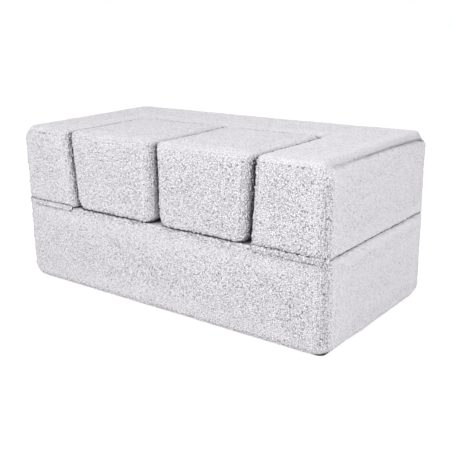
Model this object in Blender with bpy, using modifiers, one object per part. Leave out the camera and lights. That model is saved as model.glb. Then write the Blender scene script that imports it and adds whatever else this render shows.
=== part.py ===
"""Modular foam play sofa.

A long foam base block carries a U shaped upper block (two arms and a back), which fabric strips
hinge to the front edge of the base, so that it flips over forwards and the two lie end to end as a
mattress. Two loose poufs fill the U. Each block is cut foam inside a zipped teddy fabric cover.
All lengths are in metres: x runs to the right as seen from the front, y to the back and z up.
"""
import math

import bmesh
import bpy
from mathutils import Matrix, Vector
from mathutils.geometry import intersect_point_line

COLLECTION_NAME = "modular_foam_play_sofa"

# Blocks
SOFA_WIDTH = 1.400
SOFA_DEPTH = 0.730
BASE_HEIGHT = 0.321
UPPER_HEIGHT = 0.297
POUF_TOP_DROP = 0.004
ARM_TOP_WIDTH = 0.268
BACK_TOP_THICKNESS = 0.300
CAVITY_SLOPE = math.radians(4.6)
POUF_INNER_LEAN = math.radians(0.6)

# How far each face of a filled cover swells at its middle, or draws in where it is negative
TOP_CROWN = 0.005
FRONT_CROWN = 0.002
SIDE_CROWN = 0.003
POUF_TOP_CROWN = 0.008
POUF_FRONT_CROWN = 0.003
POUF_SIDE_CROWN = -0.0012

# Rounded edges
OUTER_CORNER_RADIUS = 0.042
ARM_INNER_CORNER_RADIUS = 0.028
UPPER_TOP_RADIUS = 0.024
CONTACT_EDGE_RADIUS = 0.014
BASE_BOTTOM_RADIUS = 0.022
POUF_CORNER_RADIUS = 0.030
POUF_TOP_RADIUS = 0.028
POUF_BOTTOM_RADIUS = 0.020
CORNER_SEGMENTS = 4
EDGE_SEGMENTS = 3

# Clearances
REST_GAP = 0.0003
POUF_GAP = 0.005
POUF_SPREAD = 0.008
FLIP_CLEARANCE = 0.002
FLOOR_CLEARANCE = 0.001
FOAM_EASE = 0.0005
FOAM_JOINT_GAP = 0.0006

# Covers and the panel under the base
COVER_WALL = 0.006
UNDERSIDE_THICKNESS = 0.002
UNDERSIDE_MARGIN = 0.024
UNDERSIDE_CORNER_RADIUS = 0.020

# Seam groove along each side of the top, where the side panel stands up as a lip
GROOVE_LIP = 0.016
GROOVE_RADIUS = 0.012
GROOVE_DEPTH = 0.004
GROOVE_START = 0.045
GROOVE_SEGMENTS = 12

# Fabric strips that hinge the arms to the base, on its front face and in over its top edge
STRIP_THICKNESS = 0.0016
STRIP_DROP = 0.022
STRIP_FOLD = 0.0085
STRIP_INNER_MARGIN = 0.012
STRIP_OUTER_MARGIN = 0.022

# Zips, in a slot in the wall of each cover
ZIP_SLOT_HEIGHT = 0.016
BLOCK_ZIP_MARGIN = 0.110
POUF_ZIP_MARGIN = 0.043
ZIP_RISE = 0.045
ZIP_SLIT = 0.0016
ZIP_FIT = 0.0003
TAPE_THICKNESS = 0.0012
TAPE_DEPTH = 0.0028
TEETH_WIDTH = 0.0026
TEETH_THICKNESS = 0.0032
TEETH_DEPTH = 0.0018
TEETH_EDGE_RADIUS = 0.0005
STOP_LENGTH = 0.008

# Zip sliders and their pulls
SLIDER_LENGTH = 0.013
SLIDER_NOSE_WIDTH = 0.0112
SLIDER_TAIL_WIDTH = 0.0088
SLIDER_PROUD = 0.0002
SLIDER_INNER_THICKNESS = 0.0009
SLIDER_POST_LENGTH = 0.004
SLIDER_FLANGE_WIDTH = 0.0014
SLIDER_REST_GAP = 0.003
BRIDGE_WIDTH = 0.0024
BRIDGE_THICKNESS = 0.0010
BRIDGE_HALF_LENGTH = 0.005
BRIDGE_CLEARANCE = 0.0003
BRIDGE_SINK = 0.0005
PULL_BAR = 0.0012
PULL_LENGTH = 0.028
PULL_WIDTH = 0.0080
PULL_TIP_WIDTH = 0.0060
PULL_WINDOW_WIDTH = 0.0044
PULL_WINDOW_REACH = 0.0062
PULL_END_HOLE_RADIUS = 0.0013
ZIP_PART_SMALLEST_RADIUS = 0.0004

# Grid of the covers, from edge to edge
FACE_CELLS = 4
LONG_FACE_CELLS = 8
RISE_CELLS = 4
CUT_OVERRUN = 0.010
SHARP_ANGLE = math.radians(40.0)
FLAT_ANGLE = math.radians(0.15)

UNIT = 1.0
SHARE_TOLERANCE = 0.0001
WELD_DISTANCE = 0.00001
ROUND_PROFILE = 0.5

# Heights and places that follow from the sizes above
COVER_INSET = COVER_WALL
CORE_INSET = COVER_WALL + FOAM_EASE
BASE_BOTTOM = UNDERSIDE_THICKNESS + REST_GAP
BASE_TOP = BASE_HEIGHT
BLOCK_ZIP_LENGTH = SOFA_WIDTH - 2 * BLOCK_ZIP_MARGIN
UPPER_BOTTOM = BASE_HEIGHT + REST_GAP
UPPER_TOP = UPPER_BOTTOM + UPPER_HEIGHT
POUF_TOP = UPPER_TOP - POUF_TOP_DROP
HIGHEST_TOP = max(UPPER_TOP + TOP_CROWN, POUF_TOP + POUF_TOP_CROWN)
HINGE_Y = -(SOFA_DEPTH / 2 + FRONT_CROWN + FLIP_CLEARANCE)
HINGE_Z = (HIGHEST_TOP + FLOOR_CLEARANCE) / 2


def start_scene():
    """Empties the scene and makes one collection for the parts and one for the cutters."""
    for item in list(bpy.data.objects):
        bpy.data.objects.remove(item, do_unlink=True)
    parts = bpy.data.collections.new(COLLECTION_NAME)
    cutters = bpy.data.collections.new("cutters")
    for collection in (parts, cutters):
        bpy.context.scene.collection.children.link(collection)
    return parts, cutters


PARTS, CUTTERS = start_scene()


def material(name, colour, roughness, metallic=0.0):
    """A Principled BSDF material with one colour."""
    made = bpy.data.materials.new(name)
    made.use_nodes = True
    shader = made.node_tree.nodes["Principled BSDF"]
    shader.inputs["Base Color"].default_value = (*colour, 1.0)
    shader.inputs["Roughness"].default_value = roughness
    shader.inputs["Metallic"].default_value = metallic
    return made


TEDDY_FABRIC = material("teddy_fabric", (0.76, 0.75, 0.77), 0.95)
FOAM = material("foam", (0.86, 0.80, 0.60), 0.90)
NON_SLIP_FABRIC = material("non_slip_fabric", (0.16, 0.16, 0.17), 0.85)
ZIP_TAPE = material("zip_tape", (0.70, 0.69, 0.71), 0.80)
ZIP_METAL = material("zip_metal", (0.62, 0.62, 0.64), 0.35, 1.0)


def add_object(name, mesh, finish, cutter=False):
    """Puts a mesh in the scene as a part, or as a hidden cutter."""
    item = bpy.data.objects.new(name, mesh)
    (CUTTERS if cutter else PARTS).objects.link(item)
    if not mesh.materials:
        mesh.materials.append(finish)
    if cutter:
        item.hide_render = True
        item.display_type = "WIRE"
    return item


def face_outwards(shape):
    """Turns all faces of a closed bmesh so that they look out."""
    bmesh.ops.recalc_face_normals(shape, faces=shape.faces)
    if shape.calc_volume(signed=True) < 0:
        bmesh.ops.reverse_faces(shape, faces=shape.faces)
    shape.normal_update()


def object_from_bmesh(name, shape, finish, cutter=False):
    """Turns a finished bmesh into an object with smooth rounds and sharp creases."""
    face_outwards(shape)
    mesh = bpy.data.meshes.new(name)
    shape.to_mesh(mesh)
    shape.free()
    mesh.shade_smooth()
    mesh.set_sharp_from_angle(angle=SHARP_ANGLE)
    return add_object(name, mesh, finish, cutter)


def boolean(item, other, operation):
    """Cuts or joins another object with an exact Boolean modifier."""
    step = item.modifiers.new(f"{operation.lower()}_{other.name}", "BOOLEAN")
    step.operation = operation
    step.object = other
    step.solver = "EXACT"


def baked_mesh(item, name):
    """The mesh of an object after its modifiers, with loose caps welded."""
    evaluated = item.evaluated_get(bpy.context.evaluated_depsgraph_get())
    mesh = bpy.data.meshes.new_from_object(evaluated)
    mesh.name = name
    shape = bmesh.new()
    shape.from_mesh(mesh)
    bmesh.ops.remove_doubles(shape, verts=shape.verts, dist=WELD_DISTANCE)
    shape.to_mesh(mesh)
    shape.free()
    return mesh


def box(name, low, high, finish, cutter=False, radius=0.0, segments=1):
    """A box between two corners, with all its edges rounded where a radius is given."""
    low = Vector(low)
    high = Vector(high)
    shape = bmesh.new()
    bmesh.ops.create_cube(shape, size=1.0)
    bmesh.ops.scale(shape, vec=high - low, verts=shape.verts)
    bmesh.ops.translate(shape, vec=(low + high) / 2, verts=shape.verts)
    if radius > 0:
        bevel(shape, shape.edges[:], radius, segments)
    return object_from_bmesh(name, shape, finish, cutter)


def bevel(shape, edges, radius, segments):
    """Rounds some edges of a bmesh."""
    bmesh.ops.bevel(
        shape, geom=edges, offset=radius, offset_type="OFFSET", affect="EDGES",
        segments=segments, profile=ROUND_PROFILE, clamp_overlap=False,
    )


def flat_piece(name, outlines, thickness, finish, cutter=False):
    """A plate in x and y, cut from flat closed outlines, with its middle plane at z zero."""
    curve = bpy.data.curves.new(name, "CURVE")
    curve.dimensions = "2D"
    curve.fill_mode = "BOTH"
    curve.extrude = thickness / 2
    for outline in outlines:
        spline = curve.splines.new("POLY")
        spline.points.add(len(outline) - 1)
        for point, (x, y) in zip(spline.points, outline):
            point.co = (x, y, 0, 1)
        spline.use_cyclic_u = True
    drawn = bpy.data.objects.new(f"{name}_outline", curve)
    CUTTERS.objects.link(drawn)
    mesh = baked_mesh(drawn, name)
    bpy.data.objects.remove(drawn, do_unlink=True)
    mesh.materials.clear()
    return add_object(name, mesh, finish, cutter)


def arc(centre, radius, first, last, steps):
    """Points on an arc about a centre, from one angle to another in degrees."""
    turns = [math.radians(first + (last - first) * step / steps) for step in range(steps + 1)]
    return [(centre[0] + radius * math.cos(t), centre[1] + radius * math.sin(t)) for t in turns]


def lerp(start, end, share):
    """The value at a share of the way from start to end."""
    return start + (end - start) * share


def even_shares(cells):
    """Equal steps from zero to one."""
    return [step / cells for step in range(cells + 1)]


def swell_share(distance, reach):
    """How much of its crown a filled face has at some distance from its nearest edge."""
    return 1 - (1 - min(distance / reach, 1.0)) ** 2


def grid_block(x_shares, y_shares, z_shares, keep, place):
    """A closed block of cells. Its plan is a grid of the cells that keep() wants, raised in
    layers, and place() says where each point of the unit block goes."""
    shape = bmesh.new()
    columns = len(x_shares) - 1
    rows = len(y_shares) - 1
    bmesh.ops.create_grid(shape, x_segments=columns, y_segments=rows, size=UNIT / 2)
    for vertex in shape.verts:
        column = round((vertex.co.x / UNIT + 1 / 2) * columns)
        row = round((vertex.co.y / UNIT + 1 / 2) * rows)
        vertex.co = (x_shares[column], y_shares[row], 0)
    unwanted = [f for f in shape.faces if not keep(*f.calc_center_median().xy)]
    bmesh.ops.delete(shape, geom=unwanted, context="FACES")
    raised = bmesh.ops.extrude_face_region(shape, geom=shape.faces[:], use_keep_orig=True)
    top = [v for v in raised["geom"] if isinstance(v, bmesh.types.BMVert)]
    bmesh.ops.translate(shape, vec=(0, 0, UNIT), verts=top)
    for level in z_shares[1:-1]:
        whole = shape.verts[:] + shape.edges[:] + shape.faces[:]
        bmesh.ops.bisect_plane(shape, geom=whole, plane_co=(0, 0, level), plane_no=(0, 0, 1))
    for vertex in shape.verts:
        vertex.co = place(*vertex.co)
    face_outwards(shape)
    return shape


def is_sharp(edge):
    """True for an edge between two faces that meet at a corner."""
    return len(edge.link_faces) == 2 and edge.calc_face_angle(0.0) > SHARP_ANGLE


def is_upright(edge):
    """True for an edge that runs mainly up and down."""
    run = edge.verts[1].co - edge.verts[0].co
    return abs(run.z) > max(abs(run.x), abs(run.y))


def swell(shape, crowns, reach):
    """Swells the middle of each face of a block along its normal. crowns gives the height for
    faces that look to +z, -y (front), +y (rear), -x and +x, in that order."""
    directions = (
        Vector((0, 0, 1)), Vector((0, -1, 0)), Vector((0, 1, 0)), Vector((-1, 0, 0)), Vector((1, 0, 0)),
    )
    sharp = [e for e in shape.edges if is_sharp(e)]
    segments = [(e.verts[0].co.copy(), e.verts[1].co.copy()) for e in sharp]
    on_edge = {v for e in sharp for v in e.verts}
    moves = []
    for vertex in shape.verts:
        if vertex in on_edge:
            continue
        facing = [vertex.normal.dot(d) for d in directions]
        if max(facing) < math.cos(SHARP_ANGLE):
            continue
        side = facing.index(max(facing))
        near = min(distance_to_segment(vertex.co, *ends) for ends in segments)
        moves.append((vertex, directions[side] * crowns[side] * swell_share(near, reach)))
    for vertex, move in moves:
        vertex.co += move


def distance_to_segment(point, start, end):
    """The distance from a point to the nearest point of a straight segment."""
    foot, share = intersect_point_line(point, start, end)
    if share < 0:
        foot = start
    if share > 1:
        foot = end
    return (point - foot).length


def round_block(shape, corner_radius, top_radius, bottom_radius):
    """Rounds the upright corners of a block and then its top and bottom edges."""
    uprights = [e for e in shape.edges if is_sharp(e) and is_upright(e) and e.is_convex]
    for radius in sorted({corner_radius(e) for e in uprights}):
        chosen = [e for e in uprights if e.is_valid and corner_radius(e) == radius]
        bevel(shape, chosen, radius, CORNER_SEGMENTS)
    middle = sum(v.co.z for v in shape.verts) / len(shape.verts)
    for above, radius in ((True, top_radius), (False, bottom_radius)):
        rim = [e for e in shape.edges if is_sharp(e) and not is_upright(e)]
        rim = [e for e in rim if (e.verts[0].co.z > middle) == above]
        bevel(shape, rim, radius, EDGE_SEGMENTS)
    bmesh.ops.dissolve_limit(shape, angle_limit=FLAT_ANGLE, verts=shape.verts, edges=shape.edges)


# Base block


def base_form(name, inset, crowned, cutter=False, finish=TEDDY_FABRIC):
    """The base block, or with an inset the space inside its cover or the foam in that space."""
    half_width = SOFA_WIDTH / 2 - inset
    half_depth = SOFA_DEPTH / 2 - inset
    low = BASE_BOTTOM + inset
    high = BASE_TOP - inset

    def place(u, v, w):
        return (lerp(-half_width, half_width, u), lerp(-half_depth, half_depth, v), lerp(low, high, w))

    x_cells, y_cells, z_cells = (LONG_FACE_CELLS, FACE_CELLS, RISE_CELLS) if crowned else (1, 1, 1)
    shape = grid_block(
        even_shares(x_cells), even_shares(y_cells), even_shares(z_cells), lambda u, v: True, place
    )
    if crowned:
        swell(shape, (0, FRONT_CROWN, 0, SIDE_CROWN, SIDE_CROWN), BASE_HEIGHT / 2)
    round_block(
        shape, lambda edge: OUTER_CORNER_RADIUS - inset, CONTACT_EDGE_RADIUS - inset,
        BASE_BOTTOM_RADIUS - inset,
    )
    return object_from_bmesh(name, shape, finish, cutter)


# Upper block, a U of two arms and a back whose inner faces slope


def cavity_half_width(z):
    """Half the width between the arms, at a height."""
    return SOFA_WIDTH / 2 - ARM_TOP_WIDTH - (UPPER_TOP - z) * math.tan(CAVITY_SLOPE)


def cavity_back(z):
    """The y of the front face of the back, at a height."""
    return SOFA_DEPTH / 2 - BACK_TOP_THICKNESS - (UPPER_TOP - z) * math.tan(CAVITY_SLOPE)


def upper_form(name, inset, crowned, cutter=False, finish=TEDDY_FABRIC):
    """The upper block, or with an inset the space inside its cover or the foam in that space."""
    half_width = SOFA_WIDTH / 2 - inset
    half_depth = SOFA_DEPTH / 2 - inset
    low = UPPER_BOTTOM + inset
    high = UPPER_TOP - inset
    aside = inset / math.cos(CAVITY_SLOPE)
    arm_share = (half_width - cavity_half_width(high) - aside) / (2 * half_width)
    back_share = (half_depth - cavity_back(high) - aside) / (2 * half_depth)
    arm_cells = FACE_CELLS if crowned else 1
    span_cells = LONG_FACE_CELLS if crowned else 1
    x_shares = [arm_share * s for s in even_shares(arm_cells)]
    x_shares += [lerp(arm_share, 1 - arm_share, s) for s in even_shares(span_cells)[1:-1]]
    x_shares += [1 - share for share in reversed(x_shares[:arm_cells + 1])]
    y_shares = [(1 - back_share) * s for s in even_shares(arm_cells)]
    y_shares += [lerp(1 - back_share, 1, s) for s in even_shares(arm_cells)[1:]]

    def keep(u, v):
        return v > 1 - back_share or u < arm_share or u > 1 - arm_share

    def place(u, v, w):
        x = lerp(-half_width, half_width, u)
        y = lerp(-half_depth, half_depth, v)
        z = lerp(low, high, w)
        on_arm = min(abs(u - arm_share), abs(u - 1 + arm_share)) < SHARE_TOLERANCE
        on_back = abs(v - 1 + back_share) < SHARE_TOLERANCE
        inside = arm_share - SHARE_TOLERANCE < u < 1 - arm_share + SHARE_TOLERANCE
        if on_arm and v < 1 - back_share + SHARE_TOLERANCE:
            x = math.copysign(cavity_half_width(z) + aside, x)
        if on_back and inside:
            y = cavity_back(z) + aside
        return (x, y, z)

    shape = grid_block(x_shares, y_shares, even_shares(RISE_CELLS if crowned else 1), keep, place)
    if crowned:
        swell(shape, (TOP_CROWN, FRONT_CROWN, 0, SIDE_CROWN, SIDE_CROWN), ARM_TOP_WIDTH / 2)

    def corner_radius(edge):
        outer = abs(edge.verts[0].co.x) > SOFA_WIDTH / 2 - ARM_TOP_WIDTH / 2
        return (OUTER_CORNER_RADIUS if outer else ARM_INNER_CORNER_RADIUS) - inset

    round_block(shape, corner_radius, UPPER_TOP_RADIUS - inset, CONTACT_EDGE_RADIUS - inset)
    return object_from_bmesh(name, shape, finish, cutter)


def seam_groove(side):
    """The cutter for the groove along one side of the top: a rod with a round front end, turned
    about z and laid down along y."""
    quarter = [math.radians(90 * step / CORNER_SEGMENTS) for step in range(CORNER_SEGMENTS + 1)]
    length = SOFA_DEPTH - GROOVE_START + CUT_OVERRUN
    profile = [(GROOVE_RADIUS * math.sin(turn), 0, GROOVE_RADIUS * math.cos(turn)) for turn in quarter]
    profile += [(GROOVE_RADIUS, 0, -length), (0, 0, -length)]
    mesh = bpy.data.meshes.new("seam_groove")
    mesh.from_pydata(profile, [(i, i + 1) for i in range(len(profile) - 1)], [])
    rod = add_object(f"seam_groove_{side}", mesh, TEDDY_FABRIC, True)
    turn = rod.modifiers.new("turn", "SCREW")
    turn.steps = GROOVE_SEGMENTS
    turn.render_steps = GROOVE_SEGMENTS
    turn.use_merge_vertices = True
    turn.merge_threshold = WELD_DISTANCE
    rod.rotation_euler = (math.radians(90), 0, 0)
    rod.location = (
        side * (SOFA_WIDTH / 2 - GROOVE_LIP - GROOVE_RADIUS), -SOFA_DEPTH / 2 + GROOVE_START,
        UPPER_TOP - GROOVE_DEPTH + GROOVE_RADIUS,
    )
    return rod


def upper_foam(name, keep_side):
    """One foam block of the upper block. keep_side is 0 for the back, -1 or 1 for an arm. The
    joint between an arm and the back runs on in the plane of the back's sloping front face."""
    foam = upper_form(name, CORE_INSET, False, finish=FOAM)
    shape = bmesh.new()
    shape.from_mesh(foam.data)
    normal = Vector((0, math.cos(CAVITY_SLOPE), -math.sin(CAVITY_SLOPE)))
    on_face = Vector((0, cavity_back(UPPER_TOP), UPPER_TOP)) + normal * CORE_INSET
    shift = FOAM_JOINT_GAP if keep_side == 0 else -FOAM_JOINT_GAP
    cut_off(shape, on_face + normal * shift, normal if keep_side else -normal)
    if keep_side:
        cut_off(shape, Vector((0, 0, 0)), Vector((-keep_side, 0, 0)))
    shape.to_mesh(foam.data)
    shape.free()
    foam.data.shade_smooth()
    foam.data.set_sharp_from_angle(angle=SHARP_ANGLE)
    return foam


def cut_off(shape, point, normal):
    """Cuts away the side of a closed shape that the normal points to, and closes the cut."""
    whole = shape.verts[:] + shape.edges[:] + shape.faces[:]
    bmesh.ops.bisect_plane(shape, geom=whole, plane_co=point, plane_no=normal, clear_outer=True)
    rim = [e for e in shape.edges if e.is_boundary]
    bmesh.ops.holes_fill(shape, edges=rim, sides=0)
    face_outwards(shape)


# Poufs, which fill the U


def pouf_inner(z):
    """How far from the middle of the sofa the inner side of a pouf is, at a height."""
    return POUF_SPREAD / 2 + (UPPER_TOP - z) * math.tan(POUF_INNER_LEAN)


def pouf_outer(z):
    """How far from the middle of the sofa the outer side of a pouf is, at a height."""
    return cavity_half_width(z) - POUF_GAP / math.cos(CAVITY_SLOPE)


def pouf_back(z):
    """The y of the rear face of a pouf, at a height."""
    return cavity_back(z) - POUF_GAP / math.cos(CAVITY_SLOPE)


def pouf_form(name, side, inset, crowned, cutter=False, finish=TEDDY_FABRIC):
    """A pouf, to the left where side is -1 and to the right where it is 1."""
    low = UPPER_BOTTOM + inset
    high = POUF_TOP - inset
    aside = inset / math.cos(CAVITY_SLOPE)
    front = -SOFA_DEPTH / 2 + inset

    def place(u, v, w):
        z = lerp(low, high, w)
        x = lerp(pouf_inner(z) + inset, pouf_outer(z) - aside, u)
        return (side * x, lerp(front, pouf_back(z) - aside, v), z)

    cells = even_shares(FACE_CELLS if crowned else 1)
    shape = grid_block(cells, cells, cells, lambda u, v: True, place)
    if crowned:
        crowns = (POUF_TOP_CROWN, POUF_FRONT_CROWN) + (POUF_SIDE_CROWN,) * 3
        swell(shape, crowns, (POUF_TOP - UPPER_BOTTOM) / 2)
    round_block(
        shape, lambda edge: POUF_CORNER_RADIUS - inset, POUF_TOP_RADIUS - inset,
        POUF_BOTTOM_RADIUS - inset,
    )
    return object_from_bmesh(name, shape, finish, cutter)


def pouf_zip_length():
    """The length of the slot for the zip of a pouf."""
    z = UPPER_BOTTOM + ZIP_RISE
    return pouf_outer(z) - pouf_inner(z) - 2 * POUF_ZIP_MARGIN


# Zips. Each is drawn in its own frame: x along the zip, y out of the cover with the outer surface
# of the cover at zero, and z across the zip


def zip_chain_mesh(length):
    """Two tapes with a row of teeth each, joined at both ends by the stops."""
    half = length / 2 - ZIP_FIT
    reach = ZIP_SLOT_HEIGHT / 2 - ZIP_FIT
    run = half - STOP_LENGTH
    tape = box(
        "zip_work", (-half, -TAPE_DEPTH - TAPE_THICKNESS, -reach), (half, -TAPE_DEPTH, reach), ZIP_TAPE, True
    )
    slit = box(
        "zip_slit", (-run, -COVER_WALL, -ZIP_SLIT / 2), (run, CUT_OVERRUN, ZIP_SLIT / 2), ZIP_TAPE, True
    )
    boolean(tape, slit, "DIFFERENCE")
    made = [tape, slit]
    for side in (-1, 1):
        near = side * ZIP_SLIT / 2
        far = near + side * TEETH_WIDTH
        row = box(
            "zip_teeth", (-run - STOP_LENGTH / 2, -TEETH_DEPTH - TEETH_THICKNESS, min(near, far)),
            (run + STOP_LENGTH / 2, -TEETH_DEPTH, max(near, far)), ZIP_TAPE, True, TEETH_EDGE_RADIUS,
        )
        boolean(tape, row, "UNION")
        made.append(row)
    for end in (-1, 1):
        inner = end * run
        outer = end * (half - STOP_LENGTH / 2)
        stop = box(
            "zip_stop", (min(inner, outer), -TEETH_DEPTH - TEETH_THICKNESS, -ZIP_SLIT / 2 - TEETH_WIDTH / 2),
            (max(inner, outer), -TEETH_DEPTH, ZIP_SLIT / 2 + TEETH_WIDTH / 2), ZIP_TAPE, True,
        )
        boolean(tape, stop, "UNION")
        made.append(stop)
    mesh = baked_mesh(tape, f"zip_chain_{round(length / COVER_WALL)}")
    remove_all(made)
    return mesh


def remove_all(items):
    """Removes working objects."""
    for item in items:
        bpy.data.objects.remove(item, do_unlink=True)


def slider_outline():
    """The plan of a zip slider, wide at the nose at +x and narrow at the tail, in x and z."""
    half = SLIDER_LENGTH / 2
    nose = SLIDER_NOSE_WIDTH / 2
    tail = SLIDER_TAIL_WIDTH / 2
    return [
        (-half, -tail), (0, -tail), (half - nose / 2, -nose), (half, -nose / 2),
        (half, nose / 2), (half - nose / 2, nose), (0, tail), (-half, tail),
    ]


TEETH_BACK = TEETH_DEPTH + TEETH_THICKNESS
PLATE_TOP = SLIDER_PROUD
PLATE_UNDER = -(TEETH_DEPTH - ZIP_FIT)
INNER_PLATE_TOP = -(TEETH_BACK + ZIP_FIT)
INNER_PLATE_UNDER = INNER_PLATE_TOP - SLIDER_INNER_THICKNESS
PULL_AXIS_Y = PLATE_TOP + PULL_BAR * math.sqrt(0.5) + BRIDGE_CLEARANCE
BRIDGE_UNDER = PULL_AXIS_Y + PULL_BAR * math.sqrt(0.5) + BRIDGE_CLEARANCE
BRIDGE_TOP = BRIDGE_UNDER + BRIDGE_THICKNESS
SLIDER_POST_WIDTH = ZIP_SLIT - 2 * ZIP_FIT


def slider_plate(name, under, top):
    """One of the two plates of a slider, laid across the zip."""
    plate = flat_piece(name, [slider_outline()], top - under, ZIP_METAL, True)
    plate.data.transform(Matrix.Rotation(math.pi / 2, 4, "X"))
    plate.data.transform(Matrix.Translation((0, (top + under) / 2, 0)))
    return plate


def slider_mesh(with_bridge):
    """A zip slider: an outer and an inner plate, the post between them that parts the teeth, the
    flanges that guide them, and on a slider with a pull the bridge that holds the pull."""
    body = slider_plate("slider_work", PLATE_UNDER, PLATE_TOP)
    made = [body]
    inner = slider_plate("slider_inner", INNER_PLATE_UNDER, INNER_PLATE_TOP)
    half_post = SLIDER_POST_WIDTH / 2
    end = SLIDER_LENGTH / 2 - ZIP_FIT
    post = box(
        "slider_post", (end - SLIDER_POST_LENGTH, (INNER_PLATE_UNDER + INNER_PLATE_TOP) / 2, -half_post),
        (end, (PLATE_UNDER + PLATE_TOP) / 2, half_post), ZIP_METAL, True,
    )
    made += [inner, post]
    flange_foot = -(TAPE_DEPTH - ZIP_FIT)
    outer = SLIDER_TAIL_WIDTH / 2
    for side in (-1, 1):
        edges = sorted((side * outer, side * (outer - SLIDER_FLANGE_WIDTH / 2)))
        flange = box(
            "slider_flange", (-SLIDER_LENGTH / 2 + ZIP_FIT, flange_foot, edges[0]),
            (end - SLIDER_POST_LENGTH / 2, (PLATE_UNDER + PLATE_TOP) / 2, edges[1]), ZIP_METAL, True,
        )
        made.append(flange)
    if with_bridge:
        made.append(slider_bridge())
    for piece in made[1:]:
        boolean(body, piece, "UNION")
    mesh = baked_mesh(body, "zip_slider_with_bridge" if with_bridge else "zip_slider")
    remove_all(made)
    mesh.shade_smooth()
    mesh.set_sharp_from_angle(angle=SHARP_ANGLE)
    return mesh


def slider_bridge():
    """The arch on a slider that holds the bar of its pull."""
    foot = PLATE_TOP - BRIDGE_SINK
    low_corner = BRIDGE_UNDER - BRIDGE_THICKNESS / 2
    inner_half = BRIDGE_HALF_LENGTH - BRIDGE_THICKNESS
    outer_edge = [(BRIDGE_HALF_LENGTH, foot), (BRIDGE_HALF_LENGTH, low_corner)]
    outer_edge += [(BRIDGE_HALF_LENGTH - BRIDGE_THICKNESS, BRIDGE_TOP)]
    inner_edge = [(inner_half - BRIDGE_THICKNESS / 2, BRIDGE_UNDER), (inner_half, low_corner)]
    inner_edge += [(inner_half, foot)]
    outline = outer_edge + [(-x, y) for x, y in reversed(outer_edge)]
    outline += [(-x, y) for x, y in reversed(inner_edge)] + inner_edge
    return flat_piece("slider_bridge", [outline], BRIDGE_WIDTH, ZIP_METAL, True)


def pull_mesh():
    """A zip pull: a bar that turns under the bridge, a window for the bridge and a tab with a
    hole near its end. Its origin is on the bar, and at rest it points to -x."""
    bar = PULL_BAR / 2
    root = PULL_WIDTH / 2
    tip = PULL_TIP_WIDTH / 2
    end = PULL_LENGTH - tip
    outline = [(bar, -root), (bar, root), (-PULL_WINDOW_REACH - PULL_BAR, root)]
    outline += arc((-end, 0), tip, 90, 270, CORNER_SEGMENTS * 2)
    outline += [(-PULL_WINDOW_REACH - PULL_BAR, -root)]
    window = PULL_WINDOW_WIDTH / 2
    hole = [(-bar, -window), (-bar, window), (-PULL_WINDOW_REACH, window), (-PULL_WINDOW_REACH, -window)]
    eye = arc((-end, 0), PULL_END_HOLE_RADIUS, 0, 360, CORNER_SEGMENTS * 2)[:-1]
    pull = flat_piece("pull_work", [outline, hole, eye], PULL_BAR, ZIP_METAL, True)
    mesh = pull.data
    mesh.name = "zip_pull"
    mesh.transform(Matrix.Rotation(math.pi / 2, 4, "X"))
    bpy.data.objects.remove(pull, do_unlink=True)
    mesh.shade_smooth()
    mesh.set_sharp_from_angle(angle=SHARP_ANGLE)
    return mesh


def zip_travel(length):
    """How far a slider runs between the stops."""
    run = length / 2 - ZIP_FIT - STOP_LENGTH
    return 2 * run - SLIDER_LENGTH - 2 * SLIDER_REST_GAP


def fit_zip(prefix, frame, length, cover, with_pull):
    """Cuts the slot in a cover and fits the zip, its slider and, where it has one, its pull.
    frame is the place of the middle of the slot on the outer surface of the cover."""
    half = length / 2
    slot = box(
        f"{prefix}_zip_slot", (-half, -COVER_WALL - CUT_OVERRUN, -ZIP_SLOT_HEIGHT / 2),
        (half, CUT_OVERRUN, ZIP_SLOT_HEIGHT / 2), TEDDY_FABRIC, True,
    )
    slot.matrix_world = frame
    boolean(cover, slot, "DIFFERENCE")
    guide = bpy.data.objects.new(f"{prefix}_zip_frame", None)
    CUTTERS.objects.link(guide)
    guide.matrix_world = frame
    chain = add_object(f"{prefix}_zip", zip_chain_mesh(length), ZIP_TAPE)
    chain.parent = guide
    slider = add_object(f"{prefix}_zip_slider", SLIDERS[with_pull], ZIP_METAL)
    slider.parent = guide
    slider.location = (zip_travel(length) / 2, 0, 0)
    if with_pull:
        pull = add_object(f"{prefix}_zip_pull", PULL, ZIP_METAL)
        pull.parent = slider
        pull.location = (0, PULL_AXIS_Y, 0)


SLIDERS = {True: slider_mesh(True), False: slider_mesh(False)}
PULL = pull_mesh()


# Assembly


def add_base():
    """The foam core, cover, zip and underside of the base block."""
    base_form("base_foam_core", CORE_INSET, False, finish=FOAM)
    cover = base_form("base_cover", 0, True)
    boolean(cover, base_form("base_cover_inside", COVER_INSET, False, True), "DIFFERENCE")
    frame = Matrix.Translation((0, SOFA_DEPTH / 2, BASE_BOTTOM + ZIP_RISE))
    fit_zip("base", frame, BLOCK_ZIP_LENGTH, cover, True)
    half_width = SOFA_WIDTH / 2 - UNDERSIDE_MARGIN
    half_depth = SOFA_DEPTH / 2 - UNDERSIDE_MARGIN
    shape = bmesh.new()
    bmesh.ops.create_cube(shape, size=1.0)
    bmesh.ops.scale(shape, vec=(2 * half_width, 2 * half_depth, UNDERSIDE_THICKNESS), verts=shape.verts)
    bmesh.ops.translate(shape, vec=(0, 0, UNDERSIDE_THICKNESS / 2), verts=shape.verts)
    bevel(shape, [e for e in shape.edges if is_upright(e)], UNDERSIDE_CORNER_RADIUS, CORNER_SEGMENTS)
    object_from_bmesh("base_underside", shape, NON_SLIP_FABRIC)


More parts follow.
